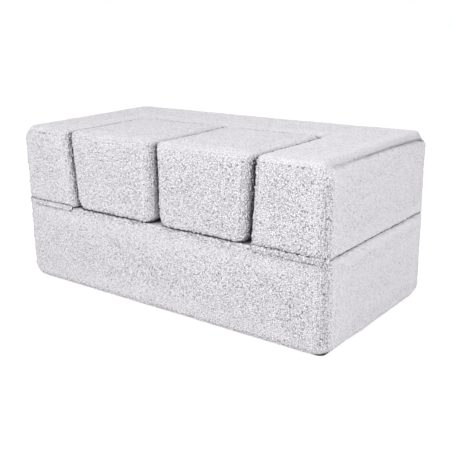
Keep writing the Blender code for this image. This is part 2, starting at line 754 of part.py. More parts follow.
def add_upper():
    """The three foam blocks, cover and zip of the upper block."""
    for name, side in (("left_arm", -1), ("right_arm", 1), ("back", 0)):
        upper_foam(f"{name}_foam_core", side)
    cover = upper_form("upper_cover", 0, True)
    boolean(cover, upper_form("upper_cover_inside", COVER_INSET, False, True), "DIFFERENCE")
    for side in (-1, 1):
        boolean(cover, seam_groove(side), "DIFFERENCE")
    frame = Matrix.Translation((0, SOFA_DEPTH / 2, UPPER_BOTTOM + ZIP_RISE))
    fit_zip("upper", frame, BLOCK_ZIP_LENGTH, cover, True)


def add_pouf(name, side):
    """The foam core, cover and zip of one pouf. Its zip is low on its sloping rear face."""
    pouf_form(f"{name}_foam_core", side, CORE_INSET, False, finish=FOAM)
    cover = pouf_form(f"{name}_cover", side, 0, True)
    boolean(cover, pouf_form(f"{name}_cover_inside", side, COVER_INSET, False, True), "DIFFERENCE")
    z = UPPER_BOTTOM + ZIP_RISE
    x = side * (pouf_inner(z) + pouf_outer(z)) / 2
    frame = Matrix.Translation((x, pouf_back(z), z)) @ Matrix.Rotation(-CAVITY_SLOPE, 4, "X")
    fit_zip(name, frame, pouf_zip_length(), cover, False)


def add_hinge_strip(name, side):
    """A fabric strip that hinges one arm to the base: it is sewn low on the front face of the base,
    and folds in between the rounded edges of the two blocks, where the arm is sewn to it."""
    bulge = FRONT_CROWN * swell_share(STRIP_DROP, BASE_HEIGHT / 2)
    face = -(SOFA_DEPTH / 2 + bulge + REST_GAP)
    front = face - STRIP_THICKNESS
    middle = (BASE_TOP + UPPER_BOTTOM) / 2
    fold_top = middle + STRIP_THICKNESS / 2
    fold_under = middle - STRIP_THICKNESS / 2
    section = [
        (front, BASE_TOP - STRIP_DROP), (face, BASE_TOP - STRIP_DROP), (face, fold_under),
        (face + STRIP_FOLD, fold_under), (face + STRIP_FOLD, fold_top),
        (front + STRIP_THICKNESS / 2, fold_top), (front, fold_under),
    ]
    inner = cavity_half_width(UPPER_BOTTOM) + STRIP_INNER_MARGIN
    outer = SOFA_WIDTH / 2 - STRIP_OUTER_MARGIN
    strip = flat_piece(name, [section], outer - inner, TEDDY_FABRIC)
    strip.data.transform(Matrix(((0, 0, 1, 0), (1, 0, 0, 0), (0, 1, 0, 0), (0, 0, 0, 1))))
    strip.location = (side * (inner + outer) / 2, 0, 0)


def main():
    """Builds the sofa."""
    add_base()
    add_upper()
    add_pouf("pouf_left", -1)
    add_pouf("pouf_right", 1)
    add_hinge_strip("hinge_strip_left", -1)
    add_hinge_strip("hinge_strip_right", 1)
    print("hinge axis y and z", HINGE_Y, HINGE_Z)
    print("slider travel", zip_travel(BLOCK_ZIP_LENGTH), zip_travel(pouf_zip_length()))
    print("pull axis out of the cover", PULL_AXIS_Y)


main()
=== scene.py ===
"""Looks of the modular foam play sofa: curly teddy fabric covers over foam, with their seams, hinge
strips and zips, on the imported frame. Lengths are in metres: x runs to the right, y to the back and
z up."""
import math
from dataclasses import dataclass

import bmesh
import bpy
import numpy as np
from mathutils import Matrix, Vector, noise
from mathutils.bvhtree import BVHTree
from mathutils.geometry import barycentric_transform


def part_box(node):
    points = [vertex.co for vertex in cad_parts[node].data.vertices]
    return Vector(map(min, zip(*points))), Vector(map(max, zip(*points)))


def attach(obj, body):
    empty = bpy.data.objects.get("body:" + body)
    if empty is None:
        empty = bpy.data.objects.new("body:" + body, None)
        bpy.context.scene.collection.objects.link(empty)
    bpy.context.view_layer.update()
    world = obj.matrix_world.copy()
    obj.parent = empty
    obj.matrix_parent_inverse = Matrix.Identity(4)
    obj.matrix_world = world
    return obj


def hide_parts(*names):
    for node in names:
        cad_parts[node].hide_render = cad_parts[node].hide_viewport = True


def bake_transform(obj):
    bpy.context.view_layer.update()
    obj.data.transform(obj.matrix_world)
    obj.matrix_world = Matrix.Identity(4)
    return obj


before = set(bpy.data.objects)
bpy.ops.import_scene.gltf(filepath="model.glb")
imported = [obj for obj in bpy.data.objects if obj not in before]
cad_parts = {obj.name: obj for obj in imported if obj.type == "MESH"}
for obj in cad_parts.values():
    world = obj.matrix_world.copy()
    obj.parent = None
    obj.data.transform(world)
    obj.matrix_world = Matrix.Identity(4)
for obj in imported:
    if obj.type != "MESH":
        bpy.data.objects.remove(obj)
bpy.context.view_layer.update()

NOISE_SEED = 1
noise.seed_set(NOISE_SEED)

# Blocks, as the frame has them
SIDES = {"left": -1, "right": 1}
HALF_WIDTH = 0.700
HALF_DEPTH = 0.365
BASE_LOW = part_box("base_cover")[0].z
BASE_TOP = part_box("base_cover")[1].z
UPPER_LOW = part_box("upper_cover")[0].z
UPPER_TOP = 0.6183
POUF_TOP = 0.6165
NONE_ABOVE = 1.0
JOINT_MIDDLE = (BASE_TOP + UPPER_LOW) / 2
ARM_TOP_WIDTH = 0.268
BACK_TOP_THICKNESS = 0.300
CAVITY_SLOPE = math.radians(4.6)
POUF_LEAN = math.radians(0.6)
POUF_GAPS = {-1: 0.0025, 1: 0.0095}
POUF_REAR_GAP = 0.0012
POUF_SPREAD = 0.0060
POUF_TAPER = 0.0060

# Rounded edges
OUTER_CORNER_RADIUS = 0.054
INNER_CORNER_RADIUS = 0.036
CAVITY_CORNER_RADIUS = 0.014
LIP_RADIUS = 0.018
FRONT_TOP_RADIUS = 0.030
REAR_TOP_RADIUS = 0.034
CAVITY_TOP_RADII = {-1: 0.010, 1: 0.020}
CAVITY_REAR_RADIUS = 0.006
CONTACT_RADIUS = 0.011
SIDE_CONTACT_RADIUS = 0.016
BASE_BOTTOM_RADIUS = 0.022
POUF_FRONT_TOP_RADIUS = 0.030
POUF_SIDE_TOP_RADII = {-1: (0.018, 0.012), 1: (0.024, 0.018)}
POUF_REAR_TOP_RADIUS = 0.006
POUF_CORNER_RADIUS = 0.042
POUF_REAR_CORNER_RADIUS = 0.020
POUF_BOTTOM_RADII = [0.027, 0.036, 0.022, 0.054]
BEVEL_SEGMENTS = 6

# Radius of an outer edge at the front corners, between the corners and at the rear corners
TOP_EASE = (0.060, 0.020, 0.050)
BOTTOM_EASE = (0.046, 0.022, 0.046)
SIDE_EASE_REACH = 0.30
REAR_EASE_REACH = 0.12
CORNER_EASE_REACH = 0.10

# How far faces swell at their middle, in the order of DIRECTIONS
DIRECTIONS = np.array([(0, 0, 1), (0, -1, 0), (0, 1, 0), (-1, 0, 0), (1, 0, 0), (0, 0, -1)], float)
BASE_CROWNS = (0, 0.001, 0.002, 0.008, 0.006, 0)
UPPER_CROWNS = (0.004, 0.001, 0.001, 0.003, 0.003, 0)
POUF_CROWNS = (0.007, 0.001, 0.000, 0.000, 0.000, 0)
NO_CROWNS = (0,) * 6
CROWN_REACH = 0.110

# Mesh of the covers
BLOCK_CELL = 0.0058
POUF_CELL = 0.0048
FLAT_FACING = 0.9
LEVEL_FACING = 0.9999
LEVEL_REACH = 0.0006
SEEN_RIM = 0.045
SEEN_MOUTH = 0.060
SEEN_CORNER = 0.040
TINY = 1e-6

# Filling of the covers by a cloth simulation on a coarse copy
FILL_CELL = 0.018
FILL_PRESSURE = 1.0
FILL_FRAMES = 20
FILL_REACH = 0.0035
FILL_TYPICAL = 60
SLACK_SIZE = 0.16
SLACK_HEIGHT = 0.0016

# Curls of the teddy fabric
CURL_SIZE = 0.0062
CURL_TOP = 0.25
CURL_PIT = 0.78
CURL_WARP = 0.45
CURL_WARP_SCALE = 0.7
CURL_HEIGHT = 0.0025
CURL_MIDDLE = 0.55
CURL_LEAST = 0.4
CONTACT_FADE = 0.006
LIP_REACH = 0.014
LIP_FADE = 0.006
FRONT_LIMIT = (0.3666, 0.0008)
TIP_LIMIT = (0.3689, 0.0004)
SIDE_NAP = 0.66
SIDE_NAP_START = 0.040
SIDE_NAP_EDGE = 0.030
TOP_NAP = 0.60
TOP_REACH = 3.0
CORNER_NAP = 0.022
FACING_POWER = 3
BRUSHED = 0.12

# Seams. A valley has a y and a drop below the top at each of its places
VALLEY_PLACES = (
    (-0.350, 0.016), (-0.200, 0.011), (-0.040, 0.008), (0.090, 0.009), (0.280, 0.019), (0.365, 0.030),
)
VALLEY_HALF_WIDTH = 0.0095
VALLEY_DEPTH = 0.0120
VALLEY_START = 0.018
VALLEY_START_FADE = 0.06
VALLEY_GROWTH_REACH = 0.45
VALLEY_REAR_REACH = 0.10
VALLEY_LEAST = 0.55
VALLEY_GROWTH = 0.45
ROLL_INWARDS = 0.012
ROLL_HALF_WIDTH = 0.016
ROLL_DEPTH = 0.0055
SEAM_HALF_WIDTH = 0.0040
SEAM_WANDER = 0.0030
SEAM_WANDER_SIZE = 0.030
RIM_REACH = 0.026
RIM_CURLS = 1.1
SEAM_DEPTH = 0.0030
TOP_SEAM_RISE = 0.003
CORNER_SEAM_DEPTH = 0.0008
CORNER_INSET = OUTER_CORNER_RADIUS * (1 - math.sqrt(0.5))
CORNER_PLACE = (HALF_WIDTH - CORNER_INSET, HALF_DEPTH - CORNER_INSET)
DASH_SIZE = 0.016
DASH_LEAST = 0.15
FACE_SEAM_DROP = 0.017
FACE_SEAM_DEPTH = 0.0050
FACE_SEAM_INSET = 0.002
PUCKER_REACH = 0.013
PUCKER_SIZE = 0.0095
PUCKER_HEIGHT = 0.0052
RAGGED_REACH = 0.017
RAGGED_SIZE = 0.0085
RAGGED_HEIGHT = 0.0100
SIDE_RAGGED_HEIGHT = 0.0045
RIDGE_LEAST = 0.02
POUF_SEAM_INSET = 0.016
POUF_SEAM_DEPTH = 0.0014

# Hinge strips
STRIP_REACH = 0.0105
STRIP_INNER_MARGIN = 0.012
STRIP_OUTER_MARGIN = 0.016
STRIP_SEAM_HALF_WIDTH = 0.0030
STRIP_SEAM_DEPTH = 0.0030
STRIP_SEAM_POINTS = 12
STRIP_FRONT = 0.0036
STRIP_TAPER = 0.030
STRIP_REAR = 0.0004
STRIP_THIN = 0.0018
STRIP_RADIUS = 0.0025
STRIP_CELL = 0.0030
SEWN_ABOVE = JOINT_MIDDLE + STRIP_REACH + STRIP_SEAM_HALF_WIDTH / 2
SEWN_BELOW = JOINT_MIDDLE - STRIP_REACH - STRIP_SEAM_HALF_WIDTH / 2

# Foam cores
CORE_INSET = 0.015
CORE_RADIUS = 0.030
CORE_CELL = 0.020

# Zips, as the frame has them
ZIP_RISE = 0.045
ZIP_SLOT_REACH = 0.008
ZIP_SLOT_SINK = 0.0072
ZIP_SLOT_EDGE = 0.0024
ZIP_LEVEL_REACH = 0.018
ZIP_LEVEL_END = 0.030
ZIP_LEVEL_EDGE = 0.006
ZIP_LEVEL_SINK = 0.0008
BLOCK_ZIP_HALF = 0.590
POUF_CAD_GAP = 0.005
TAPE_FRONT = -0.0028
TAPE_BACK = -0.0040
TAPE_NEAR = 0.0008
TAPE_FAR = 0.0077
TAPE_EDGE = 0.0003
TOOTH_PITCH = 0.0023
TOOTH_SIZE = (0.0015, 0.0030, 0.0030)
TOOTH_MIDDLE = (-0.0034, 0.0011)
TOOTH_HEAD = 0.72
STOP_LENGTH = 0.008
STOP_PLACE = 0.7
STOP_EDGE = 0.0004
STITCH_PITCH = 0.0042
STITCH_SIZE = (0.0028, 0.0006, 0.0007)
STITCH_FROM_SLIT = 0.0062

# Underside
UNDERSIDE_MARGIN = 0.024
UNDERSIDE_RADIUS = 0.020
UNDERSIDE_THICKNESS = 0.002
UNDERSIDE_EDGE = 0.0006

# Teddy fabric in the material: loops, with painted shade between them and in hollows, and a painted highlight
# on the rims
LOOP_SIZE = 0.0056
LOOP_EVENNESS = 0.8
LOOP_LINE = (0.01, 0.106)
LOOP_OPEN = 0.45
LOOP_BUMP = 0.0030
WOBBLE_SIZE = 0.011
WOBBLE_REACH = 0.004
FIBRE_SIZE = 0.0025
FIBRE_BUMP = 0.0006
PATCH_SIZE = 0.07
# Painted shade where ambient occlusion finds a hollow, less of it near the floor
HOLLOW_REACH = 0.030
HOLLOW_RANGE = (0.85, 0.30)
FLOOR_HOLLOW_REACH = 0.05
FLOOR_PAINTED_SHADE_SHARE = 0.35
# How much painted shade the pits, seams and gaps get, less on the rims, and the painted highlight of the rims
PIT_RANGE = (0.40, 0.00)
PIT_PAINTED_SHADE = 0.32
RIM_LESS_PAINTED_SHADE = -0.20
RIM_PAINTED_HIGHLIGHT = 0.5
CREASE_PAINTED_SHADE = 0.5
HOLLOW_PAINTED_SHADE = 0.12
GAP_PAINTED_SHADE = 0.35
GAP_POWER = 3.0
# Colours of the loops, the second also the painted highlight of the rims, then of the painted shade, the
# second deep in the hollows
LOOP_TONES_AND_RIM_HIGHLIGHT = ((0.845, 0.827, 0.863, 1), (0.925, 0.907, 0.941, 1))
PAINTED_SHADE_COLOURS = ((0.20, 0.19, 0.205, 1), (0.02, 0.018, 0.02, 1))
TEDDY_SHADER = {
    "Roughness": 1.0, "Specular IOR Level": 0.1, "Sheen Weight": 0.10, "Sheen Roughness": 0.6,
}

# Plain looks: the colour, the two colours of the pattern, the roughness, the metallic value and the
# height of the bumps
FOAM_LOOK = ((0.84, 0.77, 0.56, 1), (0.80, 0.72, 0.50, 1), (0.88, 0.82, 0.62, 1), 0.95, 0.0, 0.0006)
TAPE_LOOK = ((0.68, 0.67, 0.69, 1), (0.60, 0.59, 0.61, 1), (0.74, 0.73, 0.75, 1), 0.85, 0.0, 0.00012)
TEETH_LOOK = ((0.78, 0.77, 0.79, 1), (0.74, 0.73, 0.75, 1), (0.82, 0.81, 0.83, 1), 0.38, 0.0, 0.00005)
THREAD_LOOK = ((0.86, 0.85, 0.87, 1), (0.78, 0.77, 0.79, 1), (0.90, 0.89, 0.91, 1), 0.70, 0.0, 0.0001)
METAL_LOOK = ((0.62, 0.62, 0.64, 1), (0.55, 0.55, 0.57, 1), (0.70, 0.70, 0.72, 1), 0.32, 1.0, 0.00004)
GRIP_LOOK = ((0.15, 0.15, 0.16, 1), (0.15, 0.15, 0.16, 1), (0.06, 0.06, 0.065, 1), 0.8, 0.0, 0.0008)
FOAM_CELL_SIZE = 0.0016
FOAM_TINT_SIZE = 0.05
RIB_PITCH = 0.0009
TAPE_SHEEN = 0.1
FLOW_SIZE = 0.0012
THREAD_PITCH = 0.0011
BRUSH_SCALE = (200.0, 4000.0, 4000.0)
WEAR_SIZE = 0.003
WEAR_ROUGHNESS = (0.22, 0.45)
DOT_PITCH = 0.012
DOT_RIM = (0.24, 0.16)
DOT_ROUGHNESS = (0.9, 0.5)
WEAVE_PITCH = 0.0008
WEAVE_HEIGHT = 0.06

# Camera, fitted to the photograph
CAMERA_PLACE = Vector((1.7178, -2.1932, 1.0579))
CAMERA_YAW = 0.652
CAMERA_PITCH = 0.2883
CAMERA_ROLL = -0.0141
CAMERA_LENS = 58.92
CAMERA_END = 100
SENSOR = 36.0

# Room. A lamp has its place, the point that it looks at, its size and its power
LAMPS = {
    "key": ((2.0, -1.7, 3.0), (0.3, 0, 0.3), 1.6, 21),
    "front": ((0.30, -2.0, 1.0), (0.05, 0, 0.3), 1.6, 13.3),
    "side": ((3.2, -0.6, 1.2), (0, 0, 0.3), 1.8, 2.5),
    "rear": ((-1.2, 3.2, 2.0), (0, 0, 0.3), 1.8, 26),
}
WORLD_STRENGTH = 0.80
WHITE = (1, 1, 1, 1)
FLOOR_SIZE = 30
# The grey of the floor's paint and the strength of its glow
FLOOR_FOR_LIGHT = (0.85, 0.15)
FLOOR_FOR_CAMERA = (0.25, 0.86)


def vectors_of(mesh, what="co"):
    """The points of a mesh, or their normals, as an array."""
    values = np.zeros(len(mesh.vertices) * 3, np.float32)
    mesh.vertices.foreach_get(what, values)
    return values.reshape(-1, 3).astype(float)


def put_points(mesh, points):
    """Moves the points of a mesh."""
    mesh.vertices.foreach_set("co", points.astype(np.float32).ravel())
    mesh.update()


def put_attribute(mesh, name, values):
    """Stores a number or a vector for each point of a mesh, for its material."""
    kind, key = ("FLOAT", "value") if values.ndim == 1 else ("FLOAT_VECTOR", "vector")
    layer = mesh.attributes.new(name, kind, "POINT")
    layer.data.foreach_set(key, values.astype(np.float32).ravel())


def evaluated_mesh(item):
    """A new mesh with the modifiers of an object applied."""
    graph = bpy.context.evaluated_depsgraph_get()
    return bpy.data.meshes.new_from_object(item.evaluated_get(graph))


def show(name, shape):
    """Puts a shape in the scene as an object."""
    mesh = bpy.data.meshes.new(name)
    shape.to_mesh(mesh)
    shape.free()
    item = bpy.data.objects.new(name, mesh)
    bpy.context.scene.collection.objects.link(item)
    return item


def smooth_step(values):
    """An even ramp from zero to one."""
    t = np.clip(values, 0, 1)
    return t * t * (3 - 2 * t)


def bell(away, reach):
    """One where away is zero, and less and less beyond."""
    return np.exp(-(away / reach) ** 2)


def noise_at(points, size):
    """Smooth noise of a size at each point, from about -1 to 1."""
    return np.array([noise.noise(Vector(p) / size) for p in points])


def distance_to_line(points, line):
    """The distance of each point to a polyline."""
    nearest = np.full(len(points), np.inf)
    for start, end in zip(line[:-1], line[1:]):
        start = np.array(start, float)
        run = np.array(end, float) - start
        share = np.clip((points - start) @ run / max(run @ run, TINY), 0, 1)
        nearest = np.minimum(nearest, np.linalg.norm(points - start - share[:, None] * run, axis=1))
    return nearest


def distance_to_lines(points, lines):
    """The distance of each point to the nearest of some polylines."""
    return np.min([distance_to_line(points, line) for line in lines], axis=0)


# Forms of the covers


@dataclass
class Form:
    """A block between two heights. corners(z) gives its plan, and each edge has a radius."""

    corners: object
    low: float
    high: float
    uprights: list
    top: list
    bottom: list
    crowns: tuple
    top_ease: tuple = ()
    bottom_ease: tuple = ()

    def ring(self, z):
        """The corners at a height as points."""
        return [(x, y, z) for x, y in self.corners(z)]

    def sharp_lines(self):
        """The edges that the block has before it is rounded."""
        low = self.ring(self.low)
        high = self.ring(self.high)
        return [low + low[:1], high + high[:1]] + [[a, b] for a, b in zip(low, high)]

    def build(self, name, cell):
        """The rounded block as an even mesh of small cells."""
        shape = bmesh.new()
        low, high = ([shape.verts.new(p) for p in self.ring(z)] for z in (self.low, self.high))
        shape.faces.new(reversed(low))
        shape.faces.new(high)
        weight = shape.edges.layers.float.new("bevel_weight_edge")
        widest = max(self.uprights + self.top + self.bottom)
        nexts = [(i, (i + 1) % len(low)) for i in range(len(low))]
        for i, j in nexts:
            shape.faces.new((low[i], low[j], high[j], high[i]))
        for i, j in nexts:
            shape.edges.get((low[i], high[i]))[weight] = self.uprights[i] / widest
            shape.edges.get((low[i], low[j]))[weight] = self.bottom[i] / widest
            shape.edges.get((high[i], high[j]))[weight] = self.top[i] / widest
        item = show(name, shape)
        bevel = item.modifiers.new("round", "BEVEL")
        bevel.limit_method = "WEIGHT"
        bevel.width = widest
        bevel.segments = BEVEL_SEGMENTS
        bevel.use_clamp_overlap = False
        remesh = item.modifiers.new("cells", "REMESH")
        remesh.mode = "VOXEL"
        remesh.voxel_size = cell
        old = item.data
        item.data = evaluated_mesh(item)
        item.modifiers.clear()
        bpy.data.meshes.remove(old)
        for ease, edge, way in ((self.top_ease, self.high, 1), (self.bottom_ease, self.low, -1)):
            if ease:
                put_points(item.data, ease_edge(vectors_of(item.data), ease, edge, way))
        self.swell(item.data)
        return item

    def swell(self, mesh):
        """Swells each face of the block along the direction that it looks to."""
        points = vectors_of(mesh)
        side = (vectors_of(mesh, "normal") @ DIRECTIONS.T).argmax(1)
        near = distance_to_lines(points, self.sharp_lines())
        share = 1 - (1 - np.clip(near / CROWN_REACH, 0, 1)) ** 2
        amount = np.array(self.crowns)[side] * share
        put_points(mesh, points + DIRECTIONS[side] * amount[:, None])


def edge_radius(xs, ys, ease):
    """The radius of the outer edge of a block at each place."""
    front = 1 - smooth_step((ys + HALF_DEPTH) / SIDE_EASE_REACH)
    rear = 1 - smooth_step((HALF_DEPTH - ys) / REAR_EASE_REACH)
    corner = 1 - smooth_step((HALF_WIDTH - np.abs(xs)) / CORNER_EASE_REACH)
    return ease[1] + corner * (front * (ease[0] - ease[1]) + rear * (ease[2] - ease[1]))


def ease_edge(points, ease, edge, way):
    """Rounds the outer edge of a block at the height of edge, more at the corners. way is 1 for the
    upper edge and -1 for the lower one."""
    radius = edge_radius(points[:, 0], points[:, 1], ease)
    inner = np.array((HALF_WIDTH, HALF_DEPTH)) - OUTER_CORNER_RADIUS
    beyond = np.abs(points[:, :2]) - inner
    ahead = np.maximum(beyond, TINY)
    reach = np.hypot(ahead[:, 0], ahead[:, 1])
    out = radius - OUTER_CORNER_RADIUS + np.where((beyond > 0).any(axis=1), reach, -1.0)
    up = way * (points[:, 2] - edge) + radius
    far = np.hypot(out, up)
    lost = np.where((out > 0) & (up > 0) & (far > radius), 1 - radius / np.maximum(far, radius), 0.0)
    eased = points.copy()
    eased[:, :2] -= np.sign(points[:, :2]) * (ahead / reach[:, None]) * (out * lost)[:, None]
    eased[:, 2] -= way * up * lost
    return eased


def cavity_half_width(z):
    """Half the width between the arms, at a height."""
    return HALF_WIDTH - ARM_TOP_WIDTH - (UPPER_TOP - z) * math.tan(CAVITY_SLOPE)


def cavity_back(z):
    """The y of the front face of the back, at a height."""
    return HALF_DEPTH - BACK_TOP_THICKNESS - (UPPER_TOP - z) * math.tan(CAVITY_SLOPE)


def plan_block(xs, ys):
    """The corners of a block between two x and two y."""
    return [(xs[0], ys[0]), (xs[1], ys[0]), (xs[1], ys[1]), (xs[0], ys[1])]


def inner_plan(plan, inset):
    """The corners of the block that lies some way inside a plan."""
    xs, ys = sorted({x for x, _ in plan}), sorted({y for _, y in plan})
    return plan_block((xs[0] + inset, xs[-1] - inset), (ys[0] + inset, ys[-1] - inset))


def base_corners(z):
    """The plan of the base block, the same at each height."""
    return plan_block((-HALF_WIDTH, HALF_WIDTH), (-HALF_DEPTH, HALF_DEPTH))


def upper_corners(z):
    """The plan of the U shaped upper block, from its front left corner round by the right."""
    inner = cavity_half_width(z)
    back = cavity_back(z)
    return [
        (-HALF_WIDTH, -HALF_DEPTH), (-inner, -HALF_DEPTH), (-inner, back), (inner, back),
        (inner, -HALF_DEPTH), (HALF_WIDTH, -HALF_DEPTH), (HALF_WIDTH, HALF_DEPTH),
        (-HALF_WIDTH, HALF_DEPTH),
    ]


def pouf_corners(side):
    """The plan of one pouf."""

    def corners(z):
        near = POUF_SPREAD / 2 + (UPPER_TOP - z) * math.tan(POUF_LEAN)
        far = cavity_half_width(z) - POUF_GAPS[side]
        back = cavity_back(z) - POUF_REAR_GAP
        left, right = sorted((side * near, side * far))
        return [
            (left + POUF_TAPER, -HALF_DEPTH), (right - POUF_TAPER, -HALF_DEPTH), (right, back), (left, back),
        ]

    return corners


BASE_FORM = Form(
    base_corners, BASE_LOW, BASE_TOP, [OUTER_CORNER_RADIUS] * 4,
    [CONTACT_RADIUS, SIDE_CONTACT_RADIUS] * 2,
    [BASE_BOTTOM_RADIUS] * 4, BASE_CROWNS, bottom_ease=BOTTOM_EASE,
)
UPPER_FORM = Form(
    upper_corners, UPPER_LOW, UPPER_TOP,
    [
        OUTER_CORNER_RADIUS, INNER_CORNER_RADIUS, CAVITY_CORNER_RADIUS, CAVITY_CORNER_RADIUS,
        INNER_CORNER_RADIUS, OUTER_CORNER_RADIUS, OUTER_CORNER_RADIUS, OUTER_CORNER_RADIUS,
    ],
    [
        FRONT_TOP_RADIUS, CAVITY_TOP_RADII[-1], CAVITY_REAR_RADIUS, CAVITY_TOP_RADII[1],
        FRONT_TOP_RADIUS, LIP_RADIUS, REAR_TOP_RADIUS, LIP_RADIUS,
    ],
    [CONTACT_RADIUS] * 5 + [SIDE_CONTACT_RADIUS, CONTACT_RADIUS, SIDE_CONTACT_RADIUS],
    UPPER_CROWNS, top_ease=TOP_EASE,
)
POUF_FORMS = {
    side: Form(
        pouf_corners(side), UPPER_LOW, POUF_TOP,
        [POUF_CORNER_RADIUS, POUF_CORNER_RADIUS, POUF_REAR_CORNER_RADIUS, POUF_REAR_CORNER_RADIUS],
        [
            POUF_FRONT_TOP_RADIUS, POUF_SIDE_TOP_RADII[side][0], POUF_REAR_TOP_RADIUS,
            POUF_SIDE_TOP_RADII[side][1],
        ],
        POUF_BOTTOM_RADII, POUF_CROWNS,
    )
    for side in SIDES.values()
}


def fill(item, form, free):
    """Fills a cover: a coarse copy is blown up as a cloth with pressure inside, and each point of the
    cover takes a little of that move."""
    scene = bpy.context.scene
    copy = form.build("filling", FILL_CELL)
    start = vectors_of(copy.data)
    cloth = copy.modifiers.new("cloth", "CLOTH")
    cloth.settings.use_pressure = True
    cloth.settings.uniform_pressure_force = FILL_PRESSURE
    cloth.settings.effector_weights.gravity = 0
    for number in range(1, FILL_FRAMES + 1):
        scene.frame_set(number)
    filled = evaluated_mesh(copy)
    move = vectors_of(filled) - start
    scene.frame_set(1)
    length = np.linalg.norm(move, axis=1)
    typical = np.percentile(length, FILL_TYPICAL)
    move *= (FILL_REACH * np.tanh(length / typical) / np.maximum(length, TINY))[:, None]
    copy.data.calc_loop_triangles()
    corners = [Vector(p) for p in start]
    moves = [Vector(p) for p in move]
    triangles = [tuple(t.vertices) for t in copy.data.loop_triangles]
    tree = BVHTree.FromPolygons(corners, triangles)
    points = vectors_of(item.data)
    carried = np.zeros_like(points)
    for i, point in enumerate(points):
        place, _, index, _ = tree.find_nearest(point)
        at = triangles[index]
        carried[i] = barycentric_transform(place, *(corners[k] for k in at), *(moves[k] for k in at))
    put_points(item.data, points + carried * free(points)[:, None])
    bpy.data.objects.remove(copy)
    bpy.data.meshes.remove(filled)


def merge_level(mesh, heights):
    """Makes one face of the cells in the middle of each level face that lies on something."""
    shape = bmesh.new()
    shape.from_mesh(mesh)
    for height in heights:
        level = {
            f for f in shape.faces
            if abs(f.normal.z) > LEVEL_FACING and abs(f.calc_center_median().z - height) < LEVEL_REACH
        }
        inner = [f for f in level if all(g in level for v in f.verts for g in v.link_faces)]
        bmesh.ops.dissolve_faces(shape, faces=inner, use_verts=False)
    shape.to_mesh(mesh)
    shape.free()


def refine(mesh, wanted):
    """Halves the cells of the faces that wanted() picks by their middles and normals."""
    shape = bmesh.new()
    shape.from_mesh(mesh)
    cells = [f for f in shape.faces if len(f.verts) == 4 and wanted(f.calc_center_median(), f.normal)]
    edges = list({e for f in cells for e in f.edges})
    bmesh.ops.subdivide_edges(shape, edges=edges, cuts=1, smooth=1.0, use_grid_fill=True)
    shape.to_mesh(mesh)
    shape.free()


def curl_heights(points):
    """The height of the curls at each point, from zero in the pits to one on the curls."""
    near = np.zeros(len(points))
    for i, point in enumerate(points):
        place = Vector(point) / CURL_SIZE
        place += noise.noise_vector(place * CURL_WARP_SCALE) * CURL_WARP
        near[i] = noise.voronoi(place)[0][0]
    return 1 - smooth_step((near - CURL_TOP) / (CURL_PIT - CURL_TOP))


def nap_and_facing_shade(points, normals):
    """How much the curls stand up, and how much painted shade their pits and lines get in the material: fully
    on the front and rear and between the blocks, less on the outer sides and on the top, where the light
    falls differently."""
    outside = smooth_step((np.abs(points[:, 0]) - HALF_WIDTH + SIDE_NAP_START) / SIDE_NAP_EDGE)
    corner = np.abs(np.abs(points[:, 1]) - HALF_DEPTH)
    outside *= smooth_step((corner - CORNER_NAP) / CORNER_NAP)
    front, side, top = (np.clip(np.abs(normals[:, k]), 0, 1) ** FACING_POWER for k in (1, 0, 2))
    top *= TOP_REACH
    side_nap = 1 + (SIDE_NAP - 1) * outside
    brushed = BRUSHED * points[:, 0] / HALF_WIDTH
    whole = (1 + brushed) * front + side_nap * side + (1 - brushed) * TOP_NAP * top
    return whole / (front + side + top)


def sink_slot(points, slot_frame, slot_half):
    """Sinks the slot of a zip into a cover, and returns the points and how far each is in the slot."""
    turn = np.array(slot_frame.to_3x3())
    local = (points - np.array(slot_frame.translation)) @ turn
    across = smooth_step((ZIP_SLOT_REACH + ZIP_SLOT_EDGE / 2 - np.abs(local[:, 2])) / ZIP_SLOT_EDGE)
    along = smooth_step((slot_half + ZIP_SLOT_EDGE / 2 - np.abs(local[:, 0])) / ZIP_SLOT_EDGE)
    share = across * along * (np.abs(local[:, 1]) < CORE_INSET)
    local[:, 1] += share * (-ZIP_SLOT_SINK - local[:, 1])
    beside = smooth_step((ZIP_LEVEL_REACH - np.abs(local[:, 2])) / ZIP_LEVEL_EDGE)
    beside *= smooth_step((slot_half + ZIP_LEVEL_END - np.abs(local[:, 0])) / ZIP_LEVEL_EDGE)
    beside *= np.abs(local[:, 1]) < CORE_INSET
    local[:, 1] -= beside * np.maximum(local[:, 1] + ZIP_LEVEL_SINK, 0)
    return local @ turn.T + np.array(slot_frame.translation), share


